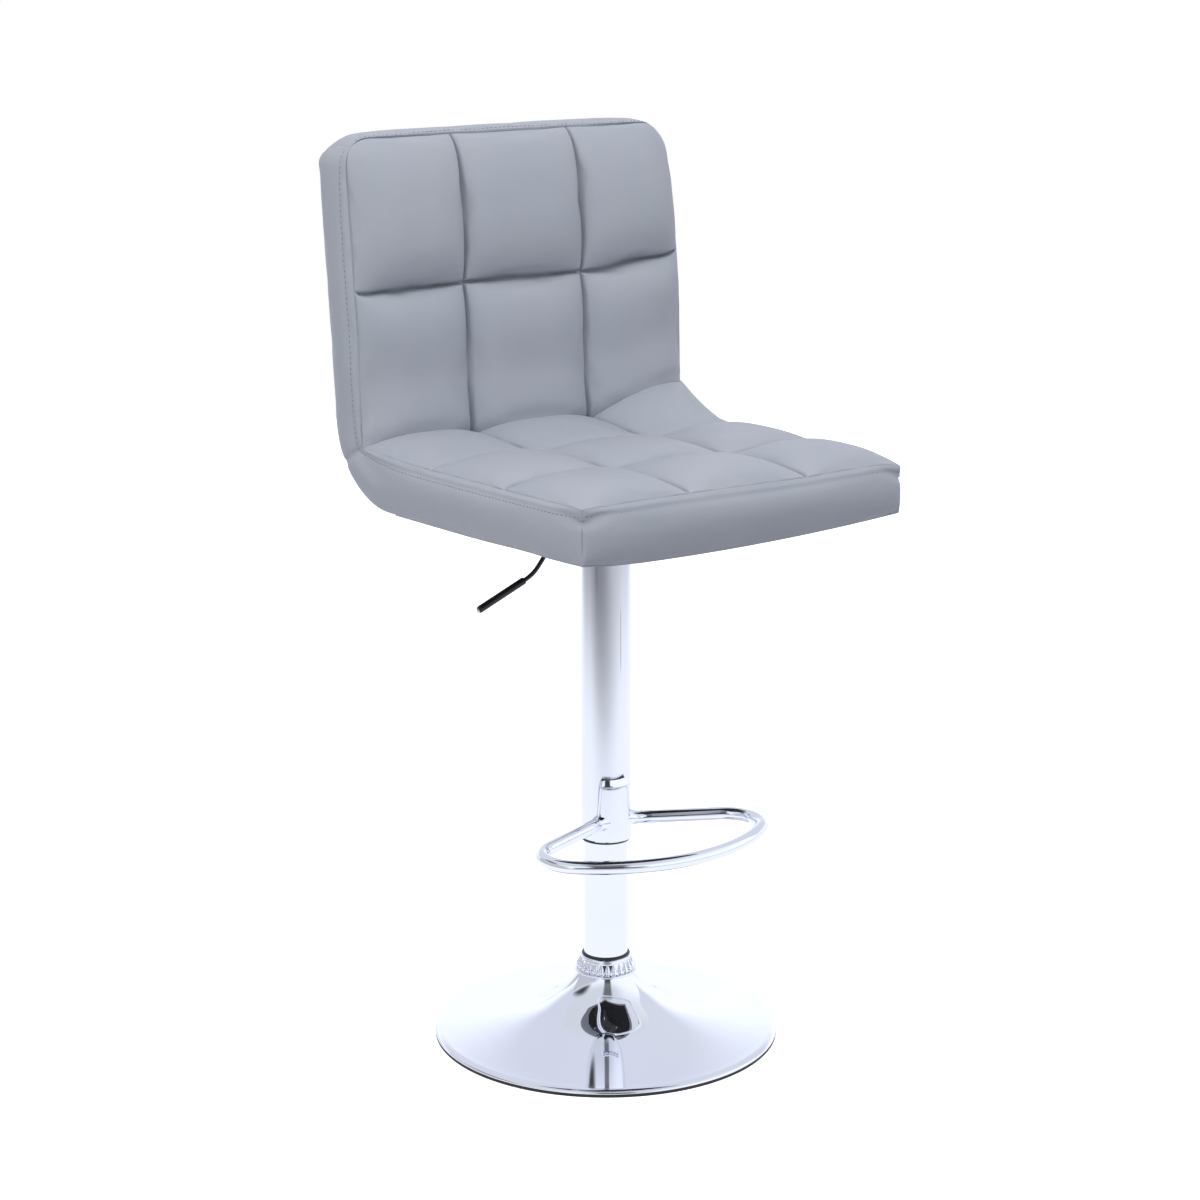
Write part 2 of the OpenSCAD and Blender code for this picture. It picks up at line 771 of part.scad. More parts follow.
module lever_grip() {
    color("black") difference() {
        lever_part(grip_start, grip_end, grip_r);
        lever_part(lever_bend, grip_rod_end, lever_r);
    }
}

module plate_bolts() {
    color("silver") at_bolts() union() {
        translate([0, 0, plate_z - bolt_head_h]) cylinder(r = bolt_head_r, h = bolt_head_h, $fn = 6);
        translate([0, 0, plate_z - bolt_head_h])
            cylinder(r = bolt_r, h = under_z + ply_t - plate_z + bolt_head_h + thread_out);
    }
}

module tee_nuts() {
    color("silver") at_bolts() union() {
        translate([0, 0, under_z + ply_t]) washer(tee_flange_r, bolt_r, tee_flange_t);
        translate([0, 0, under_z + tee_flange_t]) washer(tee_barrel_r, bolt_r, ply_t);
    }
}

module ply_shell() {
    color("burlywood") difference() {
        along_x(inner_w) polygon(concat(
            under_line(cover_t),
            [[rear_y(ply_top) - cover_t / cos(recline), ply_top],
                [rear_y(ply_top) - (cover_t + ply_t) / cos(recline), ply_top]],
            flip(under_line(cover_t + ply_t))));
        translate([0, 0, under_z - cut]) at_bolts() cylinder(r = tee_barrel_r, h = ply_t + 2 * cut);
    }
}

module foam_core() {
    color("wheat") difference() {
        intersection() {
            along_x(inner_w) polygon(concat(
                under_line(cover_t + ply_t),
                [[rear_y(ply_top) - (cover_t + ply_t) / cos(recline), ply_top],
                    [rear_y(ply_top) - cover_t / cos(recline), ply_top]],
                arc(top_arc_y, top_arc_z, top_r - cover_t, -recline, 90),
                [[quilt_back_y(back_top - cover_t), back_top - cover_t],
                    [quilt_back_y(quilt_foot_z), quilt_foot_z],
                    [face_y(quilt_foot_z), quilt_foot_z],
                    [face_y(quilt_z), quilt_z],
                    [inner_front, quilt_z]]));
            front_outline(cover_t);
        }
        translate([0, 0, under_z + ply_t - cut]) at_bolts()
            cylinder(r = tee_flange_r + small_gap, h = tee_flange_t + tee_room + cut);
    }
}

// A tufted panel that lies flat: cells in columns and rows, crowned between sewn channels
module quilt(width, length, crown, row_cuts) {
    xs = mesh_lines(column_shares);
    ys = mesh_lines(row_cuts);
    nx = len(xs);
    ny = len(ys);
    rim = concat([for (i = [0 : nx - 2]) i], [for (j = [0 : ny - 2]) j * nx + nx - 1],
        [for (i = [nx - 1 : -1 : 1]) (ny - 1) * nx + i], [for (j = [ny - 1 : -1 : 1]) j * nx]);
    top = [for (j = [0 : ny - 1]) for (i = [0 : nx - 1]) [
        (xs[i] - 0.5) * (width - 2 * draw_in * (1 - swell(j))),
        length / 2 + (ys[j] - 0.5) * (length - 2 * draw_in * (1 - swell(i))),
        quilt_t + crown * swell(i) * swell(j)]];
    foot = [for (k = rim) [top[k][0], top[k][1], 0]];
    middle = nx * ny + len(rim);
    polyhedron(points = concat(top, foot, [[0, length / 2, 0]]), faces = concat(
        [for (j = [0 : ny - 2]) for (i = [0 : nx - 2]) [j * nx + i, (j + 1) * nx + i, (j + 1) * nx + i + 1]],
        [for (j = [0 : ny - 2]) for (i = [0 : nx - 2]) [j * nx + i, (j + 1) * nx + i + 1, j * nx + i + 1]],
        [for (k = [0 : len(rim) - 1]) let (n = (k + 1) % len(rim)) [rim[k], rim[n], nx * ny + n]],
        [for (k = [0 : len(rim) - 1]) let (n = (k + 1) % len(rim)) [rim[k], nx * ny + n, nx * ny + k]],
        [for (k = [0 : len(rim) - 1]) let (n = (k + 1) % len(rim)) [nx * ny + k, nx * ny + n, middle]]));
}

module seat_quilt() {
    color("lightsteelblue") translate([0, inner_front, quilt_z])
        quilt(inner_w, seat_len, seat_crown, seat_row_shares);
}

module back_quilt() {
    color("lightsteelblue") intersection() {
        translate([0, quilt_back_y(quilt_foot_z), quilt_foot_z])
            rotate([90 - recline, 0, 0]) quilt(inner_w, back_len, back_crown, back_row_shares);
        front_outline(cover_t);
    }
}

// Upholstery seen from the front, at a depth under its outside: upright sides and round top corners
module front_outline(depth) {
    rotate([90, 0, 0]) linear_extrude(2 * seat_w, center = true) union() {
        translate([depth - half_w, 0]) square([seat_w - 2 * depth, top_corner_z]);
        for (side = [-1, 1])
            translate([side * (half_w - top_corner_r), top_corner_z]) circle(r = top_corner_r - depth);
        translate([top_corner_r - half_w, 0]) square([seat_w - 2 * top_corner_r, back_top - depth]);
    }
}

// L-shaped side of the upholstery, up to where the top corner turns in
module side_panel(side) {
    translate([side * (half_w - cover_t / 2), 0, 0]) along_x(cover_t) polygon(concat(
        [[front_y, seat_under]],
        under_line(0),
        [[rear_y(top_corner_z), top_corner_z], [face_y(top_corner_z), top_corner_z],
            [face_y(seat_top), seat_top], [front_y, seat_top]]));
}

// Cover round the two top corners
module corner_cover() {
    intersection() {
        along_x(seat_w) polygon(concat(
            [[face_y(top_corner_z), top_corner_z], [rear_y(top_corner_z), top_corner_z]], top_line(0)));
        difference() {
            front_outline(0);
            front_outline(cover_t);
        }
    }
}

module side_panel_left() {
    color("lightsteelblue") side_panel(-1);
}

module side_panel_right() {
    color("lightsteelblue") side_panel(1);
}

module front_band() {
    color("lightsteelblue") translate([-inner_w / 2, front_y, seat_under]) cube([inner_w, cover_t, seat_box]);
}

module outer_cover() {
    color("lightsteelblue") difference() {
        union() {
            intersection() {
                along_x(inner_w) polygon(concat(
                    under_line(0), top_line(0), flip(top_line(cover_t)), flip(under_line(cover_t))));
                front_outline(0);
            }
            corner_cover();
        }
        translate([-window_w / 2, window_front, seat_under - cut])
            cube([window_w, window_rear - window_front, cover_t + 2 * cut]);
    }
}

module dust_cover() {
    color("black") difference() {
        translate([-window_w / 2, window_front, plate_top])
            cube([window_w, window_rear - window_front, dust_t]);
        translate([0, 0, plate_top - cut]) at_bolts() cylinder(r = tee_barrel_r, h = dust_t + 2 * cut);
    }
}

base_shell();
floor_ring();
bottom_plate();
weight_plate();
hub_socket();
stand_tube();
collar();
dust_ring();
guide_bush();
tube_floor();
lower_race();
thrust_bearing();
upper_race();
piston_rod();
piston();
piston_nut();
rod_clip();
gas_cylinder();
rod_guide();
valve_body();
release_pin();
upper_tube();
top_collet();
lower_bush();
footrest_saddle();
footrest_ring();
seat_plate();
taper_socket();
lever_bracket();
lever_pin();
lever_rod();
lever_grip();
plate_bolts();
tee_nuts();
ply_shell();
foam_core();
seat_quilt();
back_quilt();
side_panel_left();
side_panel_right();
front_band();
outer_cover();
dust_cover();
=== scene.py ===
# Swivel bar stool: chrome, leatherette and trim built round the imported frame.
# Lengths are in metres, +Z is up, the column stands on the origin and the sitter looks towards -Y.
import bisect
from math import asin, atan2, copysign, cos, dist, exp, pi, radians, sin, sqrt, tan, tanh

import bmesh
import bpy
from mathutils import Matrix, Vector, noise


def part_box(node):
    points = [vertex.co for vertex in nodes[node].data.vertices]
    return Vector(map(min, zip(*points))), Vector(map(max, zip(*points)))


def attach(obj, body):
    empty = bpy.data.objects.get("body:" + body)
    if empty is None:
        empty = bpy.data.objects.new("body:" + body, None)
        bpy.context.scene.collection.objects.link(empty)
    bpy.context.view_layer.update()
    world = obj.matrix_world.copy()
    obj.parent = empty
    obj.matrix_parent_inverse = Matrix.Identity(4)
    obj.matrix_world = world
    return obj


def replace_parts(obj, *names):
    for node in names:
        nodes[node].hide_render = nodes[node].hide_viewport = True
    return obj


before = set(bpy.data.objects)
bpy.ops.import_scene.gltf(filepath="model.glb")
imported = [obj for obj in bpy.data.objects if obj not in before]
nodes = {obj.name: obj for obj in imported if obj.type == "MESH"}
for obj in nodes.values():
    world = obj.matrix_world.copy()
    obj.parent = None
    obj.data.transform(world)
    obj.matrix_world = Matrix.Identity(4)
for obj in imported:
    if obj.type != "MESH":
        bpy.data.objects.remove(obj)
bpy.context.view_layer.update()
scene = bpy.context.scene

# Upholstery, read from the frame
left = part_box("side_panel_left")[0].x
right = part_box("side_panel_right")[1].x
(_, front, under), (_, _, seam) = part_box("front_band")
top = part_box("outer_cover")[1].z
(_, window_front, _), (window_side, window_rear, _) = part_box("dust_cover")
half_width = (right - left) / 2

# Upholstery, as the back and its corners are cut
recline = radians(5)
face = 0.149
back_t = 0.047
corner_r = 0.098
top_r = 0.028
top_corner_r = 0.031
front_corner_r = 0.005
crease_angle = radians(-35)
crease_share = 0.56
edge_inset = 0.001
edge_roll = 0.006

# Upholstery, as its seams sag and rise
junction_start = 0.035
junction_rise = 0.004
junction_right = 0.033
sweep_start = 0.085
front_sag = 0.004
hem_sag = 0.0062
back_tuck = 0.013
channel_rise = 0.018
face_bow = 0.006
right_bow = 0.018
droop = 0.006
droop_reach = 0.05

# Upholstery, as its cells and channels are laid out
column_cuts = [0, 0.317, 0.683, 1]
seat_row_cuts = [0, 0.333, 0.667, 1]
back_row_cuts = [0, 0.51, 1]
low_row_h = 0.175

# Metal, as the base and the footrest are made
base_r, _, neck_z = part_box("base_shell")[1]
floor_ring_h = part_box("floor_ring")[1].z
neck_r = 0.031
rim_rise = 0.0077
rim_w = 0.009
sheet_t = 0.0015
swell_r = 0.058
swell_h = 0.0035
upper_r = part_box("upper_tube")[1].x
tube_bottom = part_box("upper_tube")[0].z
stand_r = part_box("stand_tube")[1].x
(_, _, collar_z), (collar_flange_r, _, collar_top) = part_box("collar")
collar_r = 0.0328
flange_h = 0.003
drop_count = 26
drop_r = 0.0034
drop_h = 0.012
foot_low, foot_high = (corner.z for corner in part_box("footrest_ring"))
foot_z = (foot_low + foot_high) / 2
foot_r = (foot_high - foot_low) / 2
foot_turn = radians(-6)
foot_reach = 0.173
foot_front_r = 0.188
foot_corner_r = 0.040
foot_corner_x = 0.096
foot_arm_angle = radians(24.5)
saddle_turn = radians(-14)
saddle_t = 0.003
saddle_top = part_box("footrest_saddle")[1].z
saddle_low_w = 0.022
saddle_high_w = 0.0165
saddle_slope_h = 0.008
tube_skin = 0.0008
weld_len = 0.017
weld_flare = 0.0052


# Materials

def filled(tree, node, inputs, output=0):
    """A node's output, with its inputs set to values or linked to other outputs."""
    for name, value in inputs.items():
        if isinstance(value, bpy.types.NodeSocket):
            tree.links.new(value, node.inputs[name])
        else:
            node.inputs[name].default_value = value
    return node.outputs[output]


def made(tree, kind, inputs, output=0, **settings):
    node = tree.nodes.new("ShaderNode" + kind)
    for name, value in settings.items():
        setattr(node, name, value)
    return filled(tree, node, inputs, output)


def maths(tree, kind, *values):
    """Two sockets or numbers brought together by one node."""
    return made(tree, "Math", dict(enumerate(values)), operation=kind)


def into_shader(tree, inputs):
    return filled(tree, tree.nodes["Principled BSDF"], inputs)


def new_material(name, colour, roughness, metallic=0.0):
    """A material with one principled shader, and its node tree."""
    material = bpy.data.materials.new(name)
    material.use_nodes = True
    tree = material.node_tree
    into_shader(tree, {"Base Color": (*colour, 1), "Roughness": roughness, "Metallic": metallic})
    return material, tree


def place_of(tree, scale=(1, 1, 1)):
    """Object coordinates, stretched by a scale along each axis."""
    return made(tree, "Mapping", {"Vector": made(tree, "TexCoord", {}, "Object"), "Scale": scale})


def noise_of(tree, scale, detail=3.0, stretch=(1, 1, 1)):
    inputs = {"Scale": scale, "Detail": detail, "Vector": place_of(tree, stretch)}
    return made(tree, "TexNoise", inputs, "Fac")


def ramp(tree, value, stops, kind="LINEAR"):
    """A value turned into colours, or into numbers, by stops of (value, colour or number)."""
    node = tree.nodes.new("ShaderNodeValToRGB")
    node.color_ramp.interpolation = kind
    elements = node.color_ramp.elements
    while len(elements) < len(stops):
        elements.new(0.5)
    for element, (at, what) in zip(elements, stops):
        element.position = at
        element.color = (*what, 1) if hasattr(what, "__len__") else (what, what, what, 1)
    return filled(tree, node, {"Fac": value}, "Color")


def feed(tree, name, value, low, high, low_at=0.3, high_at=0.7):
    """A texture's value carried to a range of colours or numbers and into the shader."""
    into_shader(tree, {name: ramp(tree, value, ((low_at, low), (high_at, high)))})


def bump(tree, height, strength, distance, under_bump=None):
    inputs = {"Strength": strength, "Distance": distance, "Height": height}
    if under_bump:
        inputs["Normal"] = under_bump
    normal = made(tree, "Bump", inputs, "Normal")
    into_shader(tree, {"Normal": normal})
    return normal


def moulded(name, colour, roughness, grain=300):
    """Moulded plastic or rubber: an even colour with a fine grain."""
    material, tree = new_material(name, colour, roughness)
    lighter = tuple(min(1, c * 1.35 + 0.006) for c in colour)
    feed(tree, "Base Color", noise_of(tree, 60, 3), colour, lighter, 0.35, 0.75)
    feed(tree, "Roughness", noise_of(tree, 25, 3), roughness - 0.08, roughness + 0.08)
    bump(tree, noise_of(tree, grain, 2), 0.15, 0.0003)
    return material


def worked_steel(name, colour, roughness, stretch=(1, 1, 1)):
    """Bare or zinc-plated steel with drawn or turned marks."""
    material, tree = new_material(name, colour, roughness, 1.0)
    marks = noise_of(tree, 120, 4, stretch)
    feed(tree, "Roughness", marks, roughness - 0.1, roughness + 0.12)
    feed(tree, "Base Color", noise_of(tree, 30, 4), tuple(c * 0.8 for c in colour), colour, 0.3, 0.65)
    bump(tree, marks, 0.08, 0.0004)
    return material


# Bright chrome: a mirror with a cool tint, faint smears and the slight waviness of pressed sheet
chrome, tree = new_material("chrome_plate", (0.86, 0.885, 0.93), 0.04, 1.0)
feed(tree, "Roughness", noise_of(tree, 14, 4, (1, 1, 0.4)), 0.025, 0.075, 0.35, 0.8)
feed(tree, "Base Color", noise_of(tree, 5, 2), (0.83, 0.855, 0.91), (0.88, 0.9, 0.94))
bump(tree, noise_of(tree, 22, 1), 0.05, 0.001)

# Light grey coated cloth with a fine pebbled grain and a soft gloss
leather, tree = new_material("grey_leatherette", (0.38, 0.41, 0.46), 0.5)
feed(tree, "Base Color", noise_of(tree, 9, 3), (0.37, 0.4, 0.452), (0.39, 0.41, 0.468))
feed(tree, "Roughness", noise_of(tree, 40, 3), 0.4, 0.52)
into_shader(tree, {"Specular IOR Level": 0.45, "Sheen Weight": 0.05})
soft = bump(tree, noise_of(tree, 55, 3), 0.12, 0.002)
pebbles = made(tree, "TexVoronoi", {"Scale": 950, "Vector": place_of(tree)}, "Distance")
bump(tree, pebbles, 0.25, 0.0004, soft)

# Thread painted darker than the grey leather it matches: the darkness is painted shade in and round the
# stitches
shade_darkened_thread, tree = new_material("thread_with_painted_shade", (0.24, 0.26, 0.3), 0.6)
feed(tree, "Base Color", noise_of(tree, 900, 2), (0.15, 0.165, 0.19), (0.24, 0.255, 0.29))

powder, tree = new_material("black_powder_coat", (0.02, 0.02, 0.022), 0.4)
feed(tree, "Base Color", noise_of(tree, 45, 3), (0.014, 0.014, 0.016), (0.03, 0.03, 0.033))
into_shader(tree, {"Coat Weight": 0.15})
bump(tree, noise_of(tree, 700, 2), 0.2, 0.0003)

# Thin black cloth, woven in fine crossing bands
dust_cloth, tree = new_material("black_dust_cloth", (0.012, 0.012, 0.013), 0.9)
bands = [made(tree, "TexWave", {"Scale": 260, "Distortion": 0.6, "Vector": place_of(tree)}, "Fac",
              bands_direction=direction) for direction in "XY"]
weave = maths(tree, "MULTIPLY", *bands)
feed(tree, "Base Color", weave, (0.006, 0.006, 0.007), (0.028, 0.028, 0.03), 0, 1)
bump(tree, weave, 0.5, 0.0006)

plywood, tree = new_material("bent_plywood", (0.6, 0.44, 0.27), 0.6)
grain = noise_of(tree, 40, 5, (0.15, 1, 6))
feed(tree, "Base Color", grain, (0.46, 0.32, 0.18), (0.68, 0.52, 0.34))
bump(tree, grain, 0.2, 0.0005)

rubber = moulded("black_rubber", (0.012, 0.012, 0.013), 0.6)
black_plastic = moulded("black_plastic", (0.014, 0.014, 0.016), 0.38)
grey_plastic = moulded("grey_plastic", (0.2, 0.2, 0.21), 0.42)
vinyl = moulded("black_vinyl", (0.01, 0.01, 0.012), 0.32, 500)
plain_steel = worked_steel("plain_steel", (0.45, 0.45, 0.47), 0.42)
bright_steel = worked_steel("bright_steel", (0.66, 0.66, 0.68), 0.28, (1, 1, 8))
cast_iron = worked_steel("cast_iron", (0.16, 0.16, 0.17), 0.62)
brass = worked_steel("turned_brass", (0.72, 0.55, 0.27), 0.3, (1, 1, 12))


# Making pieces

def mesh_of(name, shape):
    mesh = bpy.data.meshes.new(name)
    shape.to_mesh(mesh)
    shape.free()
    return mesh


def linked(name, data):
    """A new object in the scene."""
    piece = bpy.data.objects.new(name, data)
    scene.collection.objects.link(piece)
    return piece


def new_piece(name, shape, material, body, smooth=True):
    """A bmesh made into a piece that rides on a body."""
    shape.normal_update()
    mesh = mesh_of(name, shape)
    mesh.polygons.foreach_set("use_smooth", [smooth] * len(mesh.polygons))
    mesh.materials.append(material)
    piece = linked(name, mesh)
    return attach(piece, body)


def merged(shape, gap=1e-6):
    """The shape with its doubles merged and its faces turned outwards."""
    bmesh.ops.remove_doubles(shape, verts=shape.verts, dist=gap)
    bmesh.ops.recalc_face_normals(shape, faces=shape.faces)
    return shape


def moved(shape, matrix):
    bmesh.ops.transform(shape, matrix=matrix, verts=shape.verts)
    return shape


def thickened(shape):
    """Extrudes the whole of a shape: the points of its new side."""
    grown = bmesh.ops.extrude_face_region(shape, geom=shape.faces[:])
    return [v for v in grown["geom"] if isinstance(v, bmesh.types.BMVert)]


def spun(profile, steps, closed=True):
    """A ring of round section, spun about the column from a profile of (radius, height)."""
    shape = bmesh.new()
    points = [shape.verts.new((r, 0, z)) for r, z in profile]
    pairs = list(zip(points, points[1:])) + ([(points[-1], points[0])] if closed else [])
    edges = [shape.edges.new(pair) for pair in pairs]
    bmesh.ops.spin(shape, geom=points + edges, cent=(0, 0, 0), axis=(0, 0, 1), dvec=(0, 0, 0),
                   angle=2 * pi, steps=steps, use_merge=True, use_duplicate=False)
    return merged(shape)


def smooth_step(t):
    t = min(1, max(0, t))
    return t * t * (3 - 2 * t)


def hump(away, width):
    """A smooth hump that is 1 in its middle."""
    return exp(-(away / width) ** 2)


def arc_points(centre, r, start, end, steps):
    return [(centre[0] + r * cos(start + (end - start) * i / steps),
             centre[1] + r * sin(start + (end - start) * i / steps)) for i in range(steps + 1)]


def bent(start, corner, end, steps):
    """Points of a soft arc from start to end, drawn towards a corner."""
    shares = [k / steps for k in range(steps + 1)]
    return [(1 - t) ** 2 * start + 2 * t * (1 - t) * corner + t * t * end for t in shares]


def rounded(profile, r, steps=3):
    """A closed profile with its corners rounded."""
    found = []
    for i, point in enumerate(profile):
        corner = Vector(point)
        before, after = Vector(profile[i - 1]) - corner, Vector(profile[(i + 1) % len(profile)]) - corner
        cut = min(r, before.length * 0.45, after.length * 0.45)
        found += bent(corner + before.normalized() * cut, corner, corner + after.normalized() * cut, steps)
    return found


def tube(name, points, r, material, body, sides=24, closed=False):
    """A round rod or tube whose middle runs through the points."""
    curve = bpy.data.curves.new(name, "CURVE")
    curve.dimensions = "3D"
    curve.bevel_depth = r
    curve.bevel_resolution = sides // 4 - 1
    curve.use_fill_caps = True
    line = curve.splines.new("POLY")
    line.points.add(len(points) - 1)
    for spot, point in zip(line.points, points):
        spot.co = (*point, 1)
    line.use_cyclic_u = closed
    draft = linked(name + "_draft", curve)
    bpy.context.view_layer.update()
    mesh = bpy.data.meshes.new_from_object(draft)
    bpy.data.objects.remove(draft)
    shape = bmesh.new()
    shape.from_mesh(mesh)
    bpy.data.meshes.remove(mesh)
    return new_piece(name, merged(shape), material, body)


def turned(points, angle):
    """Points turned about the column."""
    spin = Matrix.Rotation(angle, 3, "Z")
    return [spin @ Vector(p) for p in points]


def softened_corners(points, r, steps=8):
    """A run of points with each inner corner rounded over a length r each way."""
    points = [Vector(point) for point in points]
    found = points[:1]
    for a, b, c in zip(points, points[1:], points[2:]):
        found += bent(b + (a - b).normalized() * r, b, b + (c - b).normalized() * r, steps)
    return found + points[-1:]


# Base

def trumpet_z(r):
    """The trumpet's height at a radius: a hollow curve, a little fuller under the neck."""
    k = (neck_z - rim_rise) / (1 / neck_r - 1 / base_r)
    swell = swell_h * hump(r - swell_r, 0.016 if r < swell_r else 0.02)
    return rim_rise + k * (1 / r - 1 / base_r) + swell * smooth_step((r - neck_r) / 0.01)


def base_profile(depth):
    """The trumpet's line at a depth under its outside, from the neck to the floor ring."""
    rim_start = base_r - rim_w
    steps, rim_steps = 46, 12
    tiny = 1e-5
    line = []
    for i in range(steps + 1):
        r = neck_r * (rim_start / neck_r) ** (i / steps)
        slope = (trumpet_z(r - tiny) - trumpet_z(r + tiny)) / (2 * tiny)
        normal = Vector((slope, 1)).normalized() * depth
        line.append((r - normal.x, trumpet_z(r) - normal.y))
    drop = trumpet_z(rim_start) - floor_ring_h - depth
    for i in range(1, rim_steps + 1):
        a = pi / 2 * i / rim_steps
        line.append((rim_start + (rim_w - depth) * sin(a), floor_ring_h + drop * cos(a)))
    return line


def make_base():
    shell = spun(base_profile(0) + base_profile(sheet_t)[::-1], 256)
    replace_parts(new_piece("trumpet_base", shell, chrome, "base"), "base_shell")
    inner_r = base_r - 0.012
    ring = rounded([(base_r, 0), (base_r, floor_ring_h), (inner_r, floor_ring_h), (inner_r, 0)], 0.0012)
    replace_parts(new_piece("rubber_floor_ring", spun(ring, 192), rubber, "base"), "floor_ring")


def make_collar():
    """Trim ring on the neck: a flange, a barrel with a row of drops, and a shoulder."""
    barrel = collar_r - 0.001
    lean = 0.0036
    shelf_z = collar_z + flange_h
    profile = [(stand_r, shelf_z), (collar_flange_r, collar_z), (collar_flange_r, shelf_z), (barrel, shelf_z),
               (barrel - lean, shelf_z + drop_h), (barrel - lean + 0.001, collar_top - 0.0018),
               (barrel - lean - 0.001, collar_top), (stand_r, collar_top)]
    shape = spun(rounded(profile, 0.0011), 160)
    for i in range(drop_count):
        angle = 2 * pi * i / drop_count
        drop = bmesh.ops.create_uvsphere(shape, u_segments=14, v_segments=12, radius=drop_r)["verts"]
        for v in drop:
            rise = (v.co.z / drop_r + 1) / 2
            narrow = 1 if rise < 0.3 else 1 - 0.62 * ((rise - 0.3) / 0.7) ** 1.3
            v.co = Vector((v.co.x * narrow - lean * rise, v.co.y * narrow, rise * drop_h))
        place = Matrix.Rotation(angle, 4, "Z") @ Matrix.Translation((barrel + 0.0001, 0, shelf_z))
        bmesh.ops.transform(shape, matrix=place, verts=drop)
    bmesh.ops.recalc_face_normals(shape, faces=shape.faces)
    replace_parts(new_piece("drop_collar", shape, chrome, "base"), "collar")


def make_dust_ring():
    """Black wiper ring on the collar, with a chamfered lip round the tube."""
    low, high = (corner.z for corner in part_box("dust_ring"))
    r = stand_r + 0.0024
    profile = [(stand_r, low), (r, low), (r, low + 0.0008), (stand_r + 0.0008, high - 0.0016),
               (stand_r, high - 0.0013)]
    shape = spun(rounded(profile, 0.0004), 128)
    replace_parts(new_piece("wiper_ring", shape, black_plastic, "base"), "dust_ring")


# Footrest

def foot_points():
    """Middle line of the footrest's loop: an arm, a corner, the front arc, a corner and an arm."""
    arc_y = foot_front_r - foot_reach
    bend_y = arc_y - sqrt((foot_front_r - foot_corner_r) ** 2 - foot_corner_x ** 2)
    tangent = atan2(bend_y - arc_y, foot_corner_x)
    arm_end = pi / 2 - foot_arm_angle
    corner = arc_points((foot_corner_x, bend_y), foot_corner_r, arm_end, tangent, 28)
    start = corner[0]
    across, along = cos(foot_arm_angle), sin(foot_arm_angle)
    length = start[0] * across - start[1] * along - upper_r + foot_r / 2
    steps = [length * share for share in (1, 0.75, 0.5, 0.25)]
    arm = [(start[0] - step * across, start[1] + step * along) for step in steps]
    side = arm + corner
    middle = arc_points((0, arc_y), foot_front_r, tangent, -pi - tangent, 72)[1:-1]
    other = [(-x, y) for x, y in side[::-1]]
    return turned([(x, y, foot_z) for x, y in side + middle + other], foot_turn)


def make_footrest():
    points = foot_points()
    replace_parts(tube("footrest_loop", points, foot_r, chrome, "seat", 48), "footrest_ring")
    make_saddle()
    for name, end, inner in (("right", points[0], points[1]), ("left", points[-1], points[-2])):
        make_weld(name, Vector(end), Vector(inner))


def make_saddle():
    """Tapered tongue that wraps the upper tube, with a sloped upper edge."""
    shape = bmesh.new()
    bmesh.ops.create_grid(shape, x_segments=40, y_segments=60, size=0.5)
    edge, end_r = 0.0022, 0.006
    for v in shape.verts:
        s, t = 2 * v.co.x, v.co.y + 0.5
        z = tube_bottom + t * (saddle_top - tube_bottom)
        width = saddle_low_w + (saddle_high_w - saddle_low_w) * t
        corner = max(0, 1 - (saddle_top - z) / end_r)
        width -= 0.004 * (1 - sqrt(max(0, 1 - corner ** 2)))
        from_side = width * (1 - abs(s))
        rise = sqrt(max(0, 1 - max(0, 1 - from_side / edge) ** 2))
        slope = min(1, max(0, (saddle_top - z) / saddle_slope_h))
        r = upper_r - 0.0002 + saddle_t * rise * slope
        angle = -pi / 2 + asin(s * width / upper_r) + saddle_turn
        v.co = Vector((r * cos(angle), r * sin(angle), z))
    for v in thickened(shape):
        flat = Vector((v.co.x, v.co.y)).normalized() * (upper_r - tube_skin)
        v.co = Vector((flat.x, flat.y, v.co.z))
    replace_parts(new_piece("footrest_tongue", merged(shape), chrome, "seat"), "footrest_saddle")


def make_weld(name, end, inner):
    """Fillet of weld where an arm of the footrest meets the column."""
    way = (inner - end).normalized()
    root = end + way * (foot_r * 0.55 + 0.0025)
    shape = bmesh.new()
    bmesh.ops.create_grid(shape, x_segments=40, y_segments=7, size=0.5)
    turn = Vector((0, 0, 1)).rotation_difference(way).to_matrix()
    for v in shape.verts:
        a, t = 2 * pi * (v.co.x + 0.5), v.co.y + 0.5
        swell = 0.0004 * noise.noise(Vector((3 * cos(a), 3 * sin(a), 5 * t)))
        r = foot_r - 0.0002 + weld_flare * (1 - t) ** 2.4 + swell
        v.co = root + turn @ Vector((r * cos(a), r * sin(a), weld_len * t - 0.009))
        out = Vector((v.co.x, v.co.y, 0))
        v.co += out.normalized() * max(0, upper_r - tube_skin - out.length)
    new_piece("footrest_weld_" + name, merged(shape), chrome, "seat")


# Lever

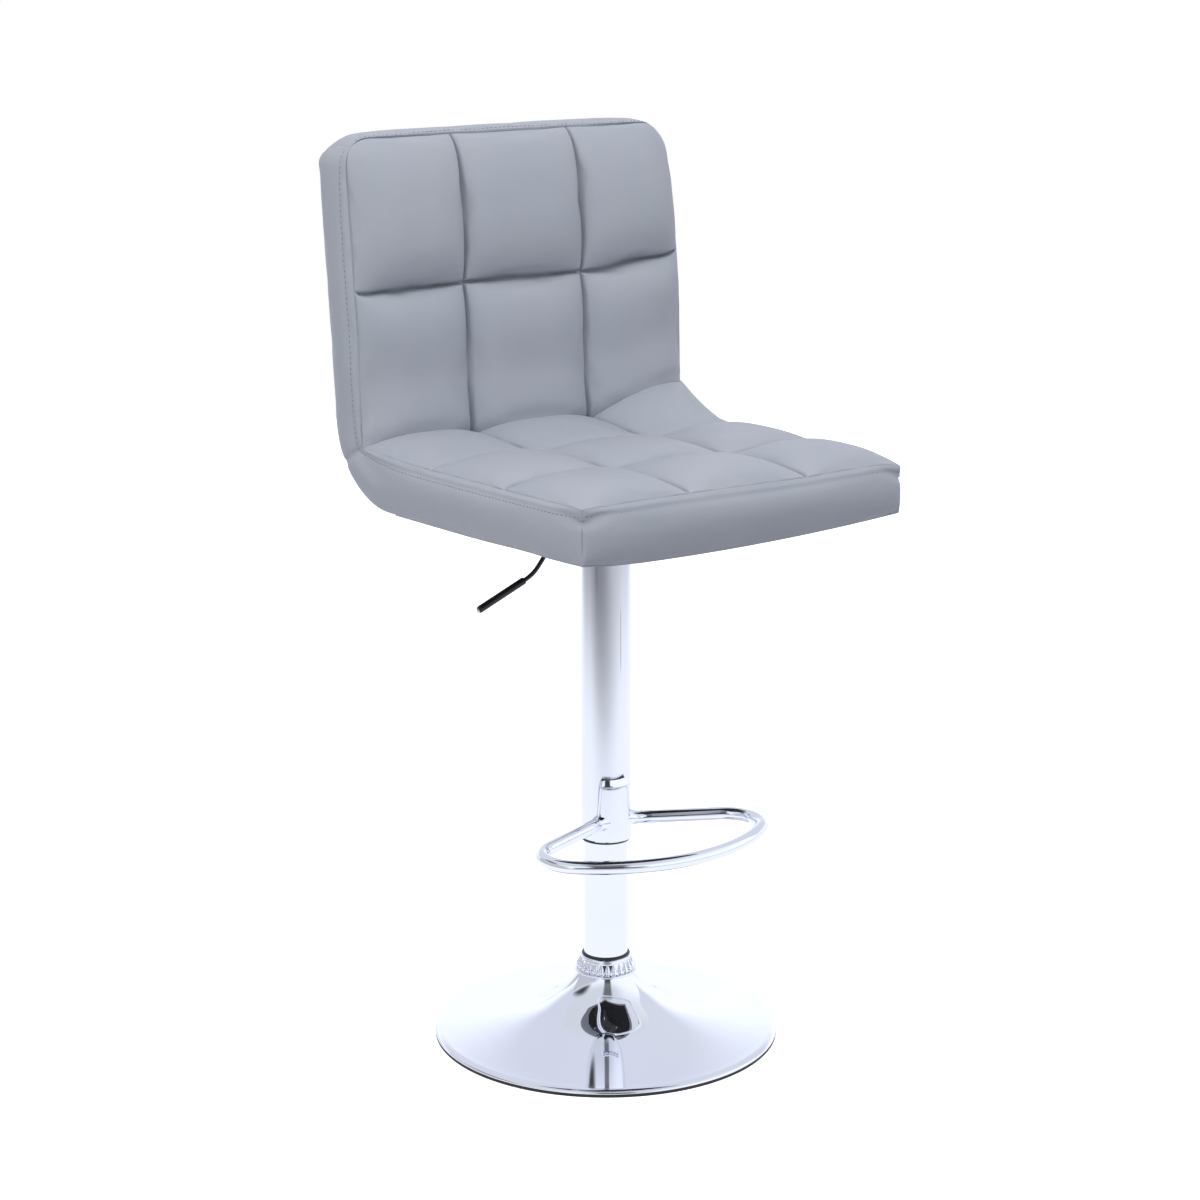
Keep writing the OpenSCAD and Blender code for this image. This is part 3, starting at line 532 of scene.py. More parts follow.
def make_lever():
    """Bent black rod on a cross barrel, with a ribbed sleeve on its end."""
    rod_r, grip_r, grip_angle = 0.0025, 0.004, radians(21.3)
    barrel_r, barrel_len = 0.005, 0.012
    arm_len, sleeve_start, sleeve_len = 0.0737, 0.0132, 0.066
    pivot = Vector((-0.034, 0, 0.6045))
    knee, bend = Vector((-0.066, 0, 0.589)), Vector((-0.1, 0, 0.549))
    way = Vector((-cos(grip_angle), 0, -sin(grip_angle)))
    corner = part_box("lever_rod")[1]
    tip = Vector((corner.x - 0.0003, 0, corner.z - rod_r))
    run = softened_corners([tip, pivot, knee, bend, bend + way * arm_len], 0.011)
    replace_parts(tube("lever_bent_rod", run, rod_r, powder, "lever", 20), "lever_rod")
    shape = bmesh.new()
    bmesh.ops.create_cone(shape, cap_ends=True, segments=40, radius1=barrel_r, radius2=barrel_r,
                          depth=barrel_len)
    rims = [e for e in shape.edges if abs(e.verts[0].co.z - e.verts[1].co.z) < 1e-6]
    bmesh.ops.bevel(shape, geom=rims, offset=0.0006, segments=2, affect="EDGES", profile=0.5, material=-1)
    moved(shape, Matrix.Translation(pivot) @ Matrix.Rotation(pi / 2, 4, "X"))
    new_piece("lever_barrel", shape, powder, "lever", smooth=False)
    ribs, low, high = 40, 0.0012, 0.0022
    profile = [(0, 0), (rod_r, 0), (grip_r - 0.0007, 0.0001), (grip_r, low)]
    for i in range(1, ribs):
        rib = 0.00012 if i % 2 else -0.00006
        profile.append((grip_r + rib, low + (sleeve_len - low - high) * i / ribs))
    profile += [(grip_r, sleeve_len - high), (grip_r - 0.0006, sleeve_len - 0.0008),
                (grip_r - 0.0016, sleeve_len), (0, sleeve_len)]
    turn = Vector((0, 0, 1)).rotation_difference(way).to_matrix().to_4x4()
    place = Matrix.Translation(bend + way * sleeve_start) @ turn
    grip = moved(spun(profile, 40, closed=False), place)
    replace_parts(new_piece("lever_sleeve", grip, vinyl, "lever"), "lever_grip")
    end_r, end_z = 0.0026, sleeve_len - 0.001
    profile = [(0, end_z), (end_r, end_z), (end_r, end_z + 0.0013), (end_r - 0.0008, end_z + 0.0019),
               (0, end_z + 0.0021)]
    end = moved(spun(profile, 32, closed=False), place)
    new_piece("lever_rod_end", end, bright_steel, "lever")


# Upholstery outlines

def face_at(z):
    return face + (z - seam) * tan(recline)


def rear_at(z):
    return face_at(z) + back_t / cos(recline)


corner_z = under + corner_r
corner_y = rear_at(corner_z) - corner_r / cos(recline)
top_arc_z = top - top_r
top_arc_y = rear_at(top_arc_z) - top_r / cos(recline)


def cell_share(cuts, share):
    """Number of the cell that a share lies in, and the share within the cell."""
    number = min(len(cuts) - 2, max(0, bisect.bisect_right(cuts, share) - 1))
    return number, (share - cuts[number]) / (cuts[number + 1] - cuts[number])


def bulge(t, sharp):
    """Rounded rise over a share from 0 to 1: the higher the power, the flatter its middle."""
    return 1 - abs(2 * min(1, max(0, t)) - 1) ** sharp


def x_at(u):
    """Place across the seat at a share of its width."""
    return left + (right - left) * u


def share_at(x):
    return (x - left) / (right - left)


def sweep_at(x):
    """Share of the sweep with which one side of the seat runs up into the back."""
    return smooth_step((x - sweep_start) / (right - sweep_start))


def junction_level(x):
    """Height of the seat's seams where it meets the back: they rise towards one side."""
    return seam + junction_rise + junction_right * sweep_at(x)


def pushed(u, v):
    """How far the stuffing pushes the face of the back forward at shares of its width and height."""
    return face_bow * smooth_step(v / 0.4) + right_bow * u ** 3 * bulge(0.5 + v / 2, 4)


def rear_y(u):
    """Where the seat meets the back at a share of its width."""
    return face_at(junction_level(x_at(u))) - pushed(u, 0)


def seat_level(x, y):
    """Height of the seat's seams: level in front, drooping at one corner and rising into the back."""
    level = seam - front_sag * smooth_step((x + 0.15) / 0.25)
    away = min(1, dist((x, y), (right, front)) / droop_reach)
    level -= droop * (1 - away) ** 2
    t = (y - junction_start) / (rear_y(share_at(x)) - junction_start)
    t = min(1, max(0, t))
    sweep = sweep_at(x)
    return level + (junction_level(x) - level) * (smooth_step(t) * (1 - sweep) + t ** 1.7 * sweep)


def straight(a, b):
    a, b = Vector(a), Vector(b)
    return (b - a).length, lambda t: a.lerp(b, t)


def arc_path(y, z, r, start, end):
    return abs(end - start) * r, lambda t: Vector((y + r * cos(start + (end - start) * t),
                                                   z + r * sin(start + (end - start) * t)))


def joined(*parts):
    """Parts of a side view's outline in a row: the point at a share of their whole length."""
    total = sum(length for length, _ in parts)

    def at(share):
        run = share * total
        for length, point in parts[:-1]:
            if run <= length:
                return point(run / length)
            run -= length
        return parts[-1][1](min(1, run / parts[-1][0]))
    return at


right_angle = pi / 2
split_angle = radians(42)
rear_foot_z = corner_z - corner_r * sin(recline)
rear_line = straight((rear_at(rear_foot_z), rear_foot_z),
                     (top_arc_y + top_r * cos(recline), top_arc_z - top_r * sin(recline)))
seat_outer = joined(straight((front, under), (corner_y, under)),
                    arc_path(corner_y, corner_z, corner_r, -right_angle, crease_angle))
back_outer = joined(arc_path(corner_y, corner_z, corner_r, crease_angle, -recline), rear_line,
                    arc_path(top_arc_y, top_arc_z, top_r, -recline, split_angle))
side_end = joined(straight((face_at(top) - face_bow, top), (top_arc_y, top)),
                  arc_path(top_arc_y, top_arc_z, top_r, right_angle, split_angle))
cover_line = joined(straight((window_rear, under), (corner_y, under)),
                    arc_path(corner_y, corner_z, corner_r, -right_angle, -recline), rear_line,
                    arc_path(top_arc_y, top_arc_z, top_r, -recline, right_angle),
                    straight((top_arc_y, top), (face_at(top) - face_bow, top)))


def softened(p):
    """Draws the back's top corners and the seat's front corners in to quarter circles."""
    for r, axis, edge, way in ((top_corner_r, 2, top, 1), (front_corner_r, 1, front, -1)):
        a, b = min(1, (abs(p.x) - half_width) / r + 1), min(1, way * (p[axis] - edge) / r + 1)
        if a > 0 and b > 0:
            p.x = copysign(half_width + r * (a * sqrt(1 - b * b / 2) - 1), p.x)
            p[axis] = edge + way * r * (b * sqrt(1 - a * a / 2) - 1)
    return p


def lower_edge(x, y):
    """Height of the seat's lower edge: it sags along the front and lifts a little at the near corner."""
    ahead = 1 - smooth_step((y - front) / 0.03)
    lift = 0.003 * hump(dist((x, y), (left, front)), 0.035)
    lift += 0.0022 * hump(y - front - 0.09, 0.06) * hump(x - left, 0.03)
    return under - hem_sag * bulge(share_at(x), 2) * ahead + lift


def seat_row(u, v, contact=0.0):
    """Distance from the column of a row across the seat: the last rows follow the front of the back."""
    return front + (face - front) * v - (face - rear_y(u) + contact) * smooth_step((v - 0.667) / 0.333)


def seat_place(u, v):
    x, y = x_at(u), seat_row(u, v, back_crown(u, 0.045) + 0.001)
    return Vector((x, y, seat_level(x, y)))


def back_place(u, v):
    """The back's panel reaches down behind the seat's rear cells."""
    x = x_at(u)
    low = junction_level(x) - back_tuck * bulge(u, 20)
    ends = (0.6 * smooth_step(u / 0.08) + 0.4 * smooth_step(u / 0.4)) * (1 - smooth_step((u - 0.8) / 0.2))
    v += channel_rise * ends * bulge(v, 2)
    z = low + (top - low) * v
    return Vector((x, face_at(z) - pushed(u, v), z))


def rolled(from_edge):
    """How far a panel draws in near its outer edge, which rolls under."""
    return edge_inset * (1 - smooth_step(from_edge / edge_roll))


def below_top(z):
    """1 along the sides, fading to 0 where they near the top of the back."""
    return 1 - smooth_step((z - top + 0.05) / 0.03)


def front_place(u, v):
    x = x_at(u)
    low = lower_edge(x, front)
    height = seat_level(x, front) - low
    return Vector((x, front + rolled(v * height), low + height * v))


def cover_place(u, v):
    y, z = cover_line(v)
    side = edge_inset * below_top(z)
    return Vector((left + side + (right - left - 2 * side) * u, y, z))


def side_place(x):
    def place(u, v):
        """Along the L from the seat's front to the back's top, and across it from inside to outside."""
        width_share = 0 if x < 0 else 1
        if u <= crease_share:
            t = u / crease_share
            y = seat_row(width_share, t)
            inner, outer = Vector((y, seat_level(x, y))), seat_outer(t)
            if outer.y < under + 1e-5:
                outer.y = lower_edge(x, outer.x)
            point = inner.lerp(outer, v)
        else:
            t = (u - crease_share) / (1 - crease_share)
            low = junction_level(x)
            z = low + (top - low) * t
            inner, outer = Vector((face_at(z) - pushed(width_share, t), z)), back_outer(t)
            flat = Vector((face_at(top) - face_bow, top)).lerp(back_outer(1), v)
            point = inner.lerp(outer, v) + (side_end(v) - flat) * max(0, (t - 0.8) / 0.2)
        draw = rolled((1 - v) * (outer - inner).length) * below_top(point.y)
        return Vector((x - copysign(draw, x), point.x, point.y))
    return place


# Stuffed panels

def cell_lines(cuts, steps, gather=0.88):
    """Shares of the mesh lines across the cells, closer together beside every seam."""
    found = []
    for low, high in zip(cuts, cuts[1:]):
        for i in range(steps):
            s = i / steps
            found.append(low + (high - low) * (s - gather * sin(2 * pi * s) / (2 * pi)))
    return found + [cuts[-1]]


seam_depth = 0.0016


class Panel:
    """A stuffed panel: a grid between its seams that swells where no seam holds it."""

    def __init__(self, name, place, outward, crown, cuts, steps, slack, depth, sewn, replaced):
        self.outward, self.cuts, self.slack, self.depth, self.replaced = outward, cuts, slack, depth, replaced
        self.lines = [cell_lines(c, s) for c, s in zip(cuts, steps)]
        count = [len(line) - 1 for line in self.lines]
        shape = bmesh.new()
        bmesh.ops.create_grid(shape, x_segments=count[0], y_segments=count[1], size=0.5)
        self.at = {}
        self.flat = {}
        held = []
        for v in shape.verts:
            i = round((v.co.x + 0.5) * count[0])
            j = round((v.co.y + 0.5) * count[1])
            self.at[i, j] = v.index
            if i % steps[0] == 0 or j % steps[1] == 0:
                held.append(v.index)
            u, w = self.lines[0][i], self.lines[1][j]
            self.flat[v.index] = softened(place(u, w))
            v.co = self.flat[v.index] + Vector(outward(self.flat[v.index])) * crown(u, w)
        self.sink(count, sewn)
        for v in shape.verts:
            v.co += self.sunk[v.index]
        shape.normal_update()
        if sum((f.normal.dot(Vector(outward(f.calc_center_median()))) for f in shape.faces)) < 0:
            bmesh.ops.reverse_faces(shape, faces=shape.faces)
        self.mesh = mesh_of(name, shape)
        self.rest = [v.co.copy() for v in self.mesh.vertices]
        self.piece = linked(name, self.mesh)
        self.piece.vertex_groups.new(name="seams").add(held, 1.0, "REPLACE")

    def sink(self, count, sewn):
        """Draws the sewn edges in to the seam that the panel shares with its neighbour."""
        self.sunk = {index: Vector() for index in self.flat}
        for (i, j), index in self.at.items():
            here = self.flat[index]
            near_hem = 1 - smooth_step((here.z - under - 0.012) / 0.014)
            for edge, at_edge, near in (("left", i == 0, (i + 2, j)), ("right", i == count[0], (i - 2, j)),
                                        ("low", j == 0, (i, j + 2)), ("high", j == count[1], (i, j - 2))):
                if at_edge and edge in sewn:
                    inwards = (self.flat[self.at[near]] - here).normalized()
                    tucked = sewn[edge] > seam_depth
                    draw = 0 if tucked else sewn[edge]
                    deep = sewn[edge] * (bulge(self.lines[0][i], 10) if tucked else 1)
                    self.sunk[index] += (inwards * draw - Vector(self.outward(here)) * deep) * (1 - near_hem)

    def inflate(self):
        """Cloth that the stuffing presses outwards."""
        cloth = self.piece.modifiers.new("stuffing", "CLOTH")
        s = cloth.settings
        s.quality = 6
        s.mass = 0.25
        s.tension_stiffness = s.compression_stiffness = 40
        s.shear_stiffness = 16
        s.bending_stiffness = 3
        s.tension_damping = s.compression_damping = s.shear_damping = 15
        s.bending_damping = 2
        s.air_damping = 4
        s.shrink_min = -self.slack
        s.use_pressure = True
        s.uniform_pressure_force = 3.5
        s.vertex_group_mass = "seams"
        s.effector_weights.gravity = 0
        cloth.collision_settings.use_collision = False

    def settle(self):
        """Takes the shape that the cloth has reached, with no point further off than its cap."""
        if self.piece.modifiers:
            done = self.piece.evaluated_get(bpy.context.evaluated_depsgraph_get())
            reached = [v.co.copy() for v in done.data.vertices]
            self.piece.modifiers.clear()
        else:
            reached = self.rest
        cap = 0.008
        for index, start in enumerate(self.rest):
            step = reached[index] - start
            far = step.length
            if far > 1e-7:
                step *= cap * tanh(far / cap) / far
            self.mesh.vertices[index].co = start + step
        self.points = [v.co.copy() for v in self.mesh.vertices]

    def close(self):
        """Closes the panel with a flat foot under it, so that it is a solid pad."""
        shape = bmesh.new()
        shape.from_mesh(self.mesh)
        feet = {tuple(round(c, 7) for c in v.co): v for v in thickened(shape)}
        middle = sum(self.flat.values(), Vector()) / len(self.flat)
        for index, co in enumerate(self.points):
            v = feet.get(tuple(round(c, 7) for c in co))
            if v:
                flat = self.flat[index] + self.sunk[index]
                v.co = flat - Vector(self.outward(flat)) * self.depth + (middle - flat).normalized() * 0.0004
        bmesh.ops.recalc_face_normals(shape, faces=shape.faces)
        shape.to_mesh(self.mesh)
        shape.free()

    def finish(self):
        self.close()
        self.mesh.polygons.foreach_set("use_smooth", [True] * len(self.mesh.polygons))
        self.mesh.materials.append(leather)
        smooth = self.piece.modifiers.new("smooth", "SUBSURF")
        smooth.levels = smooth.render_levels = 1
        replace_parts(self.piece, *self.replaced)
        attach(self.piece, "seat")

    def point(self, u, v):
        """The swollen surface at shares of the panel's width and length."""
        (i, s), (j, t) = cell_share(self.lines[0], u), cell_share(self.lines[1], v)
        a, b = self.points[self.at[i, j]], self.points[self.at[i + 1, j]]
        c, d = self.points[self.at[i, j + 1]], self.points[self.at[i + 1, j + 1]]
        return a.lerp(b, s).lerp(c.lerp(d, s), t)


# How far each panel stands out between its seams

seat_rows = (0.014, 0.014, 0.011)
rear_columns = (0.013, 0.013, 0.019)
back_rows = (0.014, 0.014)
groove = 0.009
groove_w = 0.0016


def pinch(cuts, share, length):
    """Depth of the narrow valley that the stitching pulls in along a channel."""
    near = min(abs(share - cut) for cut in cuts[1:-1]) * length
    return groove * hump(near, groove_w)


def seat_crown(u, v):
    """The rear cells stay full up to the back, which hides their far ends."""
    row, t = cell_share(seat_row_cuts, v)
    column, s = cell_share(column_cuts, u)
    height = seat_rows[row] if row < 2 else rear_columns[column]
    along = bulge(t, 3) if row < 2 else bulge(t / 2, 2.6)
    sharp = 2.3 if column == 2 and s > 0.5 else 3
    lift = 0.004 * bulge(u, 9) * bulge(v, 9)
    valley = max(pinch(column_cuts, u, 2 * half_width), pinch(seat_row_cuts, v, face - front))
    return lift + height * bulge(s, sharp) * along - valley * bulge(u, 30) * bulge(v, 30)


def contact_height(u):
    """Height over the back panel's lower edge at which the seat's rear cells touch it."""
    column, s = cell_share(column_cuts, u)
    return back_tuck + rear_columns[column] * bulge(s, 3)


def back_crown(u, v):
    """The upper cells are fullest low down and the lower ones high up, and their channels stand out too."""
    row, t = cell_share(back_row_cuts, v)
    s = cell_share(column_cuts, u)[1]
    if row:
        along = (1 - (1 - t) ** 9) * (1 - t ** 3) / 0.94
        rise = 0.009 + 0.0075 * bulge(t, 2.6)
    else:
        along = 0.2 + 0.8 * smooth_step((t - 0.42) / 0.46) + 0.65 * (1 - smooth_step((t - 0.08) / 0.4))
        along *= 1 - t ** 9
        rise = 0.009 + 0.0035 * bulge(0.5 + t / 2, 2.6)
    lift = rise * bulge(u, 8) * (bulge(v, 20) if row else 1)
    valley = max(pinch(column_cuts, u, 2 * half_width), pinch(back_row_cuts, v, top - seam))
    above_contact = t * low_row_h - contact_height(u)
    tuck = 0 if row else 0.0035 * (1 - smooth_step(above_contact / 0.004)) * bulge(u, 16)
    return lift + back_rows[row] * bulge(s, 4.2) * along - valley * bulge(u, 30) - tuck


seam_allowance = 0.008
front_bulge = 0.009
side_bulge = 0.008
crease_dip = 0.0022


def fold(along, down):
    """Soft fold under the topstitching beside an upright corner seam."""
    line = seam_allowance + 0.008 - 0.25 * along
    return 0.0036 * hump(down - line, 0.0045) * hump(along, 0.025)


def boxing_crown(from_seam, across, ends, height):
    """A strip of boxing: a welt beside the seam, a shallow valley under the topstitching and a soft belly."""
    belly = height * bulge((from_seam / across) ** 1.3, 2.2) * ends
    welt = 0.0014 * bulge(from_seam / seam_allowance, 2) if from_seam < seam_allowance else 0
    valley = 0.0012 * hump(from_seam - seam_allowance, 0.0022)
    return belly + (welt - valley) * ends


def front_crown(u, v):
    across = seam - under
    down = (1 - v) * across
    from_corner = min(u, 1 - u) * 2 * half_width
    return boxing_crown(down, across, bulge(u, 16), front_bulge) - fold(from_corner, down)


def side_crown(u, v):
    part, t = cell_share([0, crease_share, 1], u)
    across = (seam - under, back_t)[part]
    length = (face - front, top - seam)[part]
    ends = bulge(t / 2, 16) if part == 0 else bulge(0.5 + t / 2, 12)
    down = v * across
    near = fold(t * length, down) if part == 0 else 0
    from_crease = (1 - t if part == 0 else t) * length
    ends *= 1 - 0.18 * hump(from_crease, 0.01)
    crease = crease_dip * hump(from_crease, 0.004)
    return boxing_crown(down, across, ends, side_bulge) - near - crease


def cover_crown(u, v):
    """The outer cover lies flat on the shell and swells along the top of the back."""
    end = 0.86
    top_part = 0.003 * bulge((v - end) / (1 - end), 3) if v > end else 0
    corner_part = 0.004 * bulge(v / 0.38, 2)
    return (0.0015 * bulge(v / end, 8) + top_part + corner_part) * bulge(u, 14)


def towards(*way):
    """The same way out for every point of a flat panel."""
    return lambda point: way


def from_middle(point):
    """Out of the rear corner: the cover wraps from under the seat to the top of the back."""
    if point.z < corner_z:
        return Vector((0, point.y - corner_y, point.z - corner_z)).normalized()
    if point.z > top_arc_z:
        return Vector((0, point.y - top_arc_y, point.z - top_arc_z)).normalized()
    return (0, cos(recline), -sin(recline))


def side_panel(side, x, way):
    cuts = ([0, crease_share, 1], [0, 1])
    return Panel(side + "_boxing", side_place(x), towards(way, 0, 0), side_crown, cuts, (66, 22),
                 0.001, 0.003, {"left": 0.0007, "low": 0.0013}, ["side_panel_" + side])


back_sewn = {edge: seam_depth for edge in ("left", "right", "low", "high")}
seat_sewn = {"left": 0.001, "right": 0.001, "low": 0.001, "high": 0.006}
panels = {
    "seat": Panel("seat_tufted_panel", seat_place, towards(0, 0, 1), seat_crown, (column_cuts, seat_row_cuts),
                  (24, 22), 0.005, 0.012, seat_sewn, ["seat_quilt", "foam_core"]),
    "back": Panel("back_tufted_panel", back_place, towards(0, -cos(recline), sin(recline)),
                  back_crown, (column_cuts, back_row_cuts), (24, 28), 0.005, 0.012, back_sewn,
                  ["back_quilt"]),
    "front": Panel("front_boxing", front_place, towards(0, -1, 0), front_crown, ([0, 1], [0, 1]),
                   (72, 22), 0.001, 0.003, {"left": 0.0007, "right": 0.0007, "high": 0.001}, ["front_band"]),
    "left": side_panel("left", left, -1),
    "right": side_panel("right", right, 1),
    "cover": Panel("outer_wrap", cover_place, from_middle, cover_crown, ([0, 1], [0, 1]),
                   (60, 96), 0.002, 0.003, {"high": seam_depth}, ["outer_cover"]),
}


def make_upholstery():
    """Swells every panel in the same run of the cloth, then closes each."""
    for panel in panels.values():
        panel.inflate()
    for number in range(1, 21):
        scene.frame_set(number)
    for panel in panels.values():
        panel.settle()
    for panel in panels.values():
        panel.finish()


def make_hem():
    """Edge of the cover turned under the seat, round the black cloth."""
    shape = bmesh.new()
    edge = edge_inset + 0.001
    rear = window_rear + 0.004
    loops = []
    for x, y in ((half_width - edge, front + edge), (window_side, window_front)):
        corners = ((-x, y), (x, y), (x, rear), (-x, rear))
        loops.append([shape.verts.new((*corner, under)) for corner in corners])
    for a in range(3):
        shape.faces.new((loops[0][a - 1], loops[0][a], loops[1][a], loops[1][a - 1]))
    bmesh.ops.subdivide_edges(shape, edges=shape.edges, cuts=11, use_grid_fill=True)
    for v in shape.verts:
        v.co.z = lower_edge(v.co.x, v.co.y)
    bmesh.ops.recalc_face_normals(shape, faces=shape.faces)
    bmesh.ops.solidify(shape, geom=shape.faces, thickness=0.0012)
    new_piece("turned_under_hem", merged(shape), leather, "seat", smooth=False)


# Stitches

stitch_len = 0.0038
stitch_pitch = 0.0058
stitch_w = 0.0011
stitch_h = 0.0008


def one_stitch():
    shape = bmesh.new()
    bmesh.ops.create_uvsphere(shape, u_segments=6, v_segments=5, radius=1)
    return mesh_of("one_stitch", shape)


def stitch_row(shape, stitch, panel, path, lift):
    """One row of stitches on a panel, along a path of its shares."""
    fine = 300
    spots = [panel.point(*path(k / fine)) for k in range(fine + 1)]
    runs = [0.0]
    for a, b in zip(spots, spots[1:]):
        runs.append(runs[-1] + (b - a).length)
    for n in range(int(runs[-1] / stitch_pitch)):
        want = (n + 0.5) * stitch_pitch
        k = min(fine - 1, bisect.bisect_right(runs, want) - 1)
        t = (want - runs[k]) / max(1e-9, runs[k + 1] - runs[k])
        here = spots[k].lerp(spots[k + 1], t)
        way = (spots[k + 1] - spots[k]).normalized()
        out = Vector(panel.outward(here))
        out = (out - way * out.dot(way)).normalized()
        side = out.cross(way)
        turn = Matrix((way * stitch_len / 2, side * stitch_w / 2, out * stitch_h / 2)).transposed().to_4x4()
        copy = stitch.copy()
        copy.transform(Matrix.Translation(here + out * lift) @ turn)
        shape.from_mesh(copy)
        bpy.data.meshes.remove(copy)


def make_stitches():
    """Topstitching beside the seams of the boxing, and the rows that sew the channels."""
    stitch = one_stitch()
    shape = bmesh.new()
    for key in ("left", "right"):
        stitch_row(shape, stitch, panels[key], lambda t: (0.004 + 0.992 * t, seam_allowance / back_t), 0)
    stitch_row(shape, stitch, panels["front"],
               lambda t: (0.004 + 0.992 * t, 1 - seam_allowance / (seam - under)), 0)
    stitch_row(shape, stitch, panels["cover"], lambda t: (0.02 + 0.96 * t, 0.993), 0)
    for key in ("seat", "back"):
        panel = panels[key]
        for cut in panel.cuts[0][1:-1]:
            stitch_row(shape, stitch, panel, lambda t, cut=cut: (cut, 0.01 + 0.98 * t), -0.0002)
        for cut in panel.cuts[1][1:-1]:
            stitch_row(shape, stitch, panel, lambda t, cut=cut: (0.01 + 0.98 * t, cut), 0)
    new_piece("topstitching", shape, shade_darkened_thread, "seat")


# Finish of the CAD pieces that stay

def dress_nodes():
    finishes = {
        chrome: ["stand_tube", "upper_tube"],
        black_plastic: ["lower_bush", "rod_guide"],
        grey_plastic: ["guide_bush", "top_collet"],
        plain_steel: ["hub_socket", "tube_floor", "taper_socket", "lever_bracket", "piston", "rod_clip"],
        cast_iron: ["weight_plate"],
        bright_steel: ["lower_race", "upper_race", "piston_rod", "piston_nut", "release_pin", "lever_pin",
                       "plate_bolts", "tee_nuts"],
        brass: ["thrust_bearing", "valve_body"],
        powder: ["bottom_plate", "gas_cylinder", "seat_plate"],
        plywood: ["ply_shell"],
        dust_cloth: ["dust_cover"],
    }
    for material, names in finishes.items():
        for name in names:
            node = nodes[name]
            node.data.materials.clear()
            node.data.materials.append(material)


# Floor, light and camera

to_side = (0.784, -0.621, 0)
to_back = (0.621, 0.784, 0)


def light_path_mix(tree, seen, other, *rays):
    """One shader for the rays named, such as those of the camera, and another for the rest."""
    path = tree.nodes.new("ShaderNodeLightPath").outputs
    chosen = path[rays[0]]
    for ray in rays[1:]:
        chosen = maths(tree, "MAXIMUM", chosen, path[ray])
    return made(tree, "MixShader", {"Fac": chosen, 1: other, 2: seen})


def product(tree, first, *others):
    for other in others:
        first = maths(tree, "MULTIPLY", first, other)
    return first


def less(tree, value, share):
    """A value without a share of it."""
    return product(tree, value, maths(tree, "SUBTRACT", 1.0, share))


def slanted(tree, side, other, slope):
    """Distance from a slanting line."""
    return maths(tree, "ABSOLUTE", maths(tree, "ADD", side, maths(tree, "MULTIPLY", other, slope)))


def part_along(tree, vector, axis):
    return made(tree, "VectorMath", {0: vector, 1: axis}, "Value", operation="DOT_PRODUCT")


def eased(tree, value, low, high, start=0.0, end=1.0):
    """A value carried smoothly from one range to another."""
    inputs = {"Value": value, "From Min": low, "From Max": high, "To Min": start, "To Max": end}
    return made(tree, "MapRange", inputs, "Result", interpolation_type="SMOOTHSTEP")


def glow(tree, kind, colour, strength):
    return made(tree, kind, {"Color": (*colour, 1), "Strength": strength})


def stage_object(name, shape, material):
    piece = linked(name, mesh_of(name, shape))
    piece.data.materials.append(material)
    return piece


def make_floor():
    """White round the stool. Its mirror image in the chrome greys towards the camera."""
    shape = bmesh.new()
    bmesh.ops.create_circle(shape, cap_ends=True, segments=96, radius=4)
    material, tree = new_material("floor_white", (0.8, 0.81, 0.83), 0.8)
    lit = tree.nodes["Principled BSDF"].outputs[0]
    shown = made(tree, "AddShader", {0: lit, 1: glow(tree, "Emission", (1, 1, 1), 0.86)})
    spot = place_of(tree)
    side = part_along(tree, spot, [c / 1.8 for c in to_side])
    ahead = maths(tree, "MAXIMUM", part_along(tree, spot, [-c / 1.15 for c in to_back]), 0.0)
    reach = maths(tree, "SQRT", maths(tree, "ADD", maths(tree, "POWER", maths(tree, "ABSOLUTE", side), 2.0),
                                      maths(tree, "POWER", ahead, 2.0)))
    stops = ((0.45, 1.0), (0.72, 0.97), (0.95, 0.84), (1.15, 0.67), (1.4, 0.52), (1.75, 0.4), (2.3, 0.36))
    far = 3.0
    grey = ramp(tree, maths(tree, "DIVIDE", reach, far), [(at / far, tone) for at, tone in stops], "B_SPLINE")
    grey = maths(tree, "POWER", grey, eased(tree, side, -0.8, 0.9, 1.5, 0.68))
    strip = product(tree, eased(tree, slanted(tree, side, ahead, -1.75), 0.05, 0.12, 0.5, 0),
                    eased(tree, reach, 0.93, 1.0), eased(tree, reach, 1.16, 1.26, 1, 0))
    band = product(tree, eased(tree, slanted(tree, side, ahead, 0.685), 0.05, 0.5, 0.35, 0),
                   eased(tree, reach, 1.35, 1.9))
    mirrored = glow(tree, "Emission", (1.04, 1.065, 1.17), less(tree, less(tree, grey, strip), band))
    bounce = made(tree, "BsdfDiffuse", {"Color": (0.4, 0.4, 0.42, 1)})
    camera_view = light_path_mix(tree, shown, bounce, "Is Camera Ray", "Is Transmission Ray")
    out = tree.nodes["Material Output"]
    tree.links.new(light_path_mix(tree, mirrored, camera_view, "Is Glossy Ray"), out.inputs["Surface"])
    stage_object("pale_floor", shape, material)


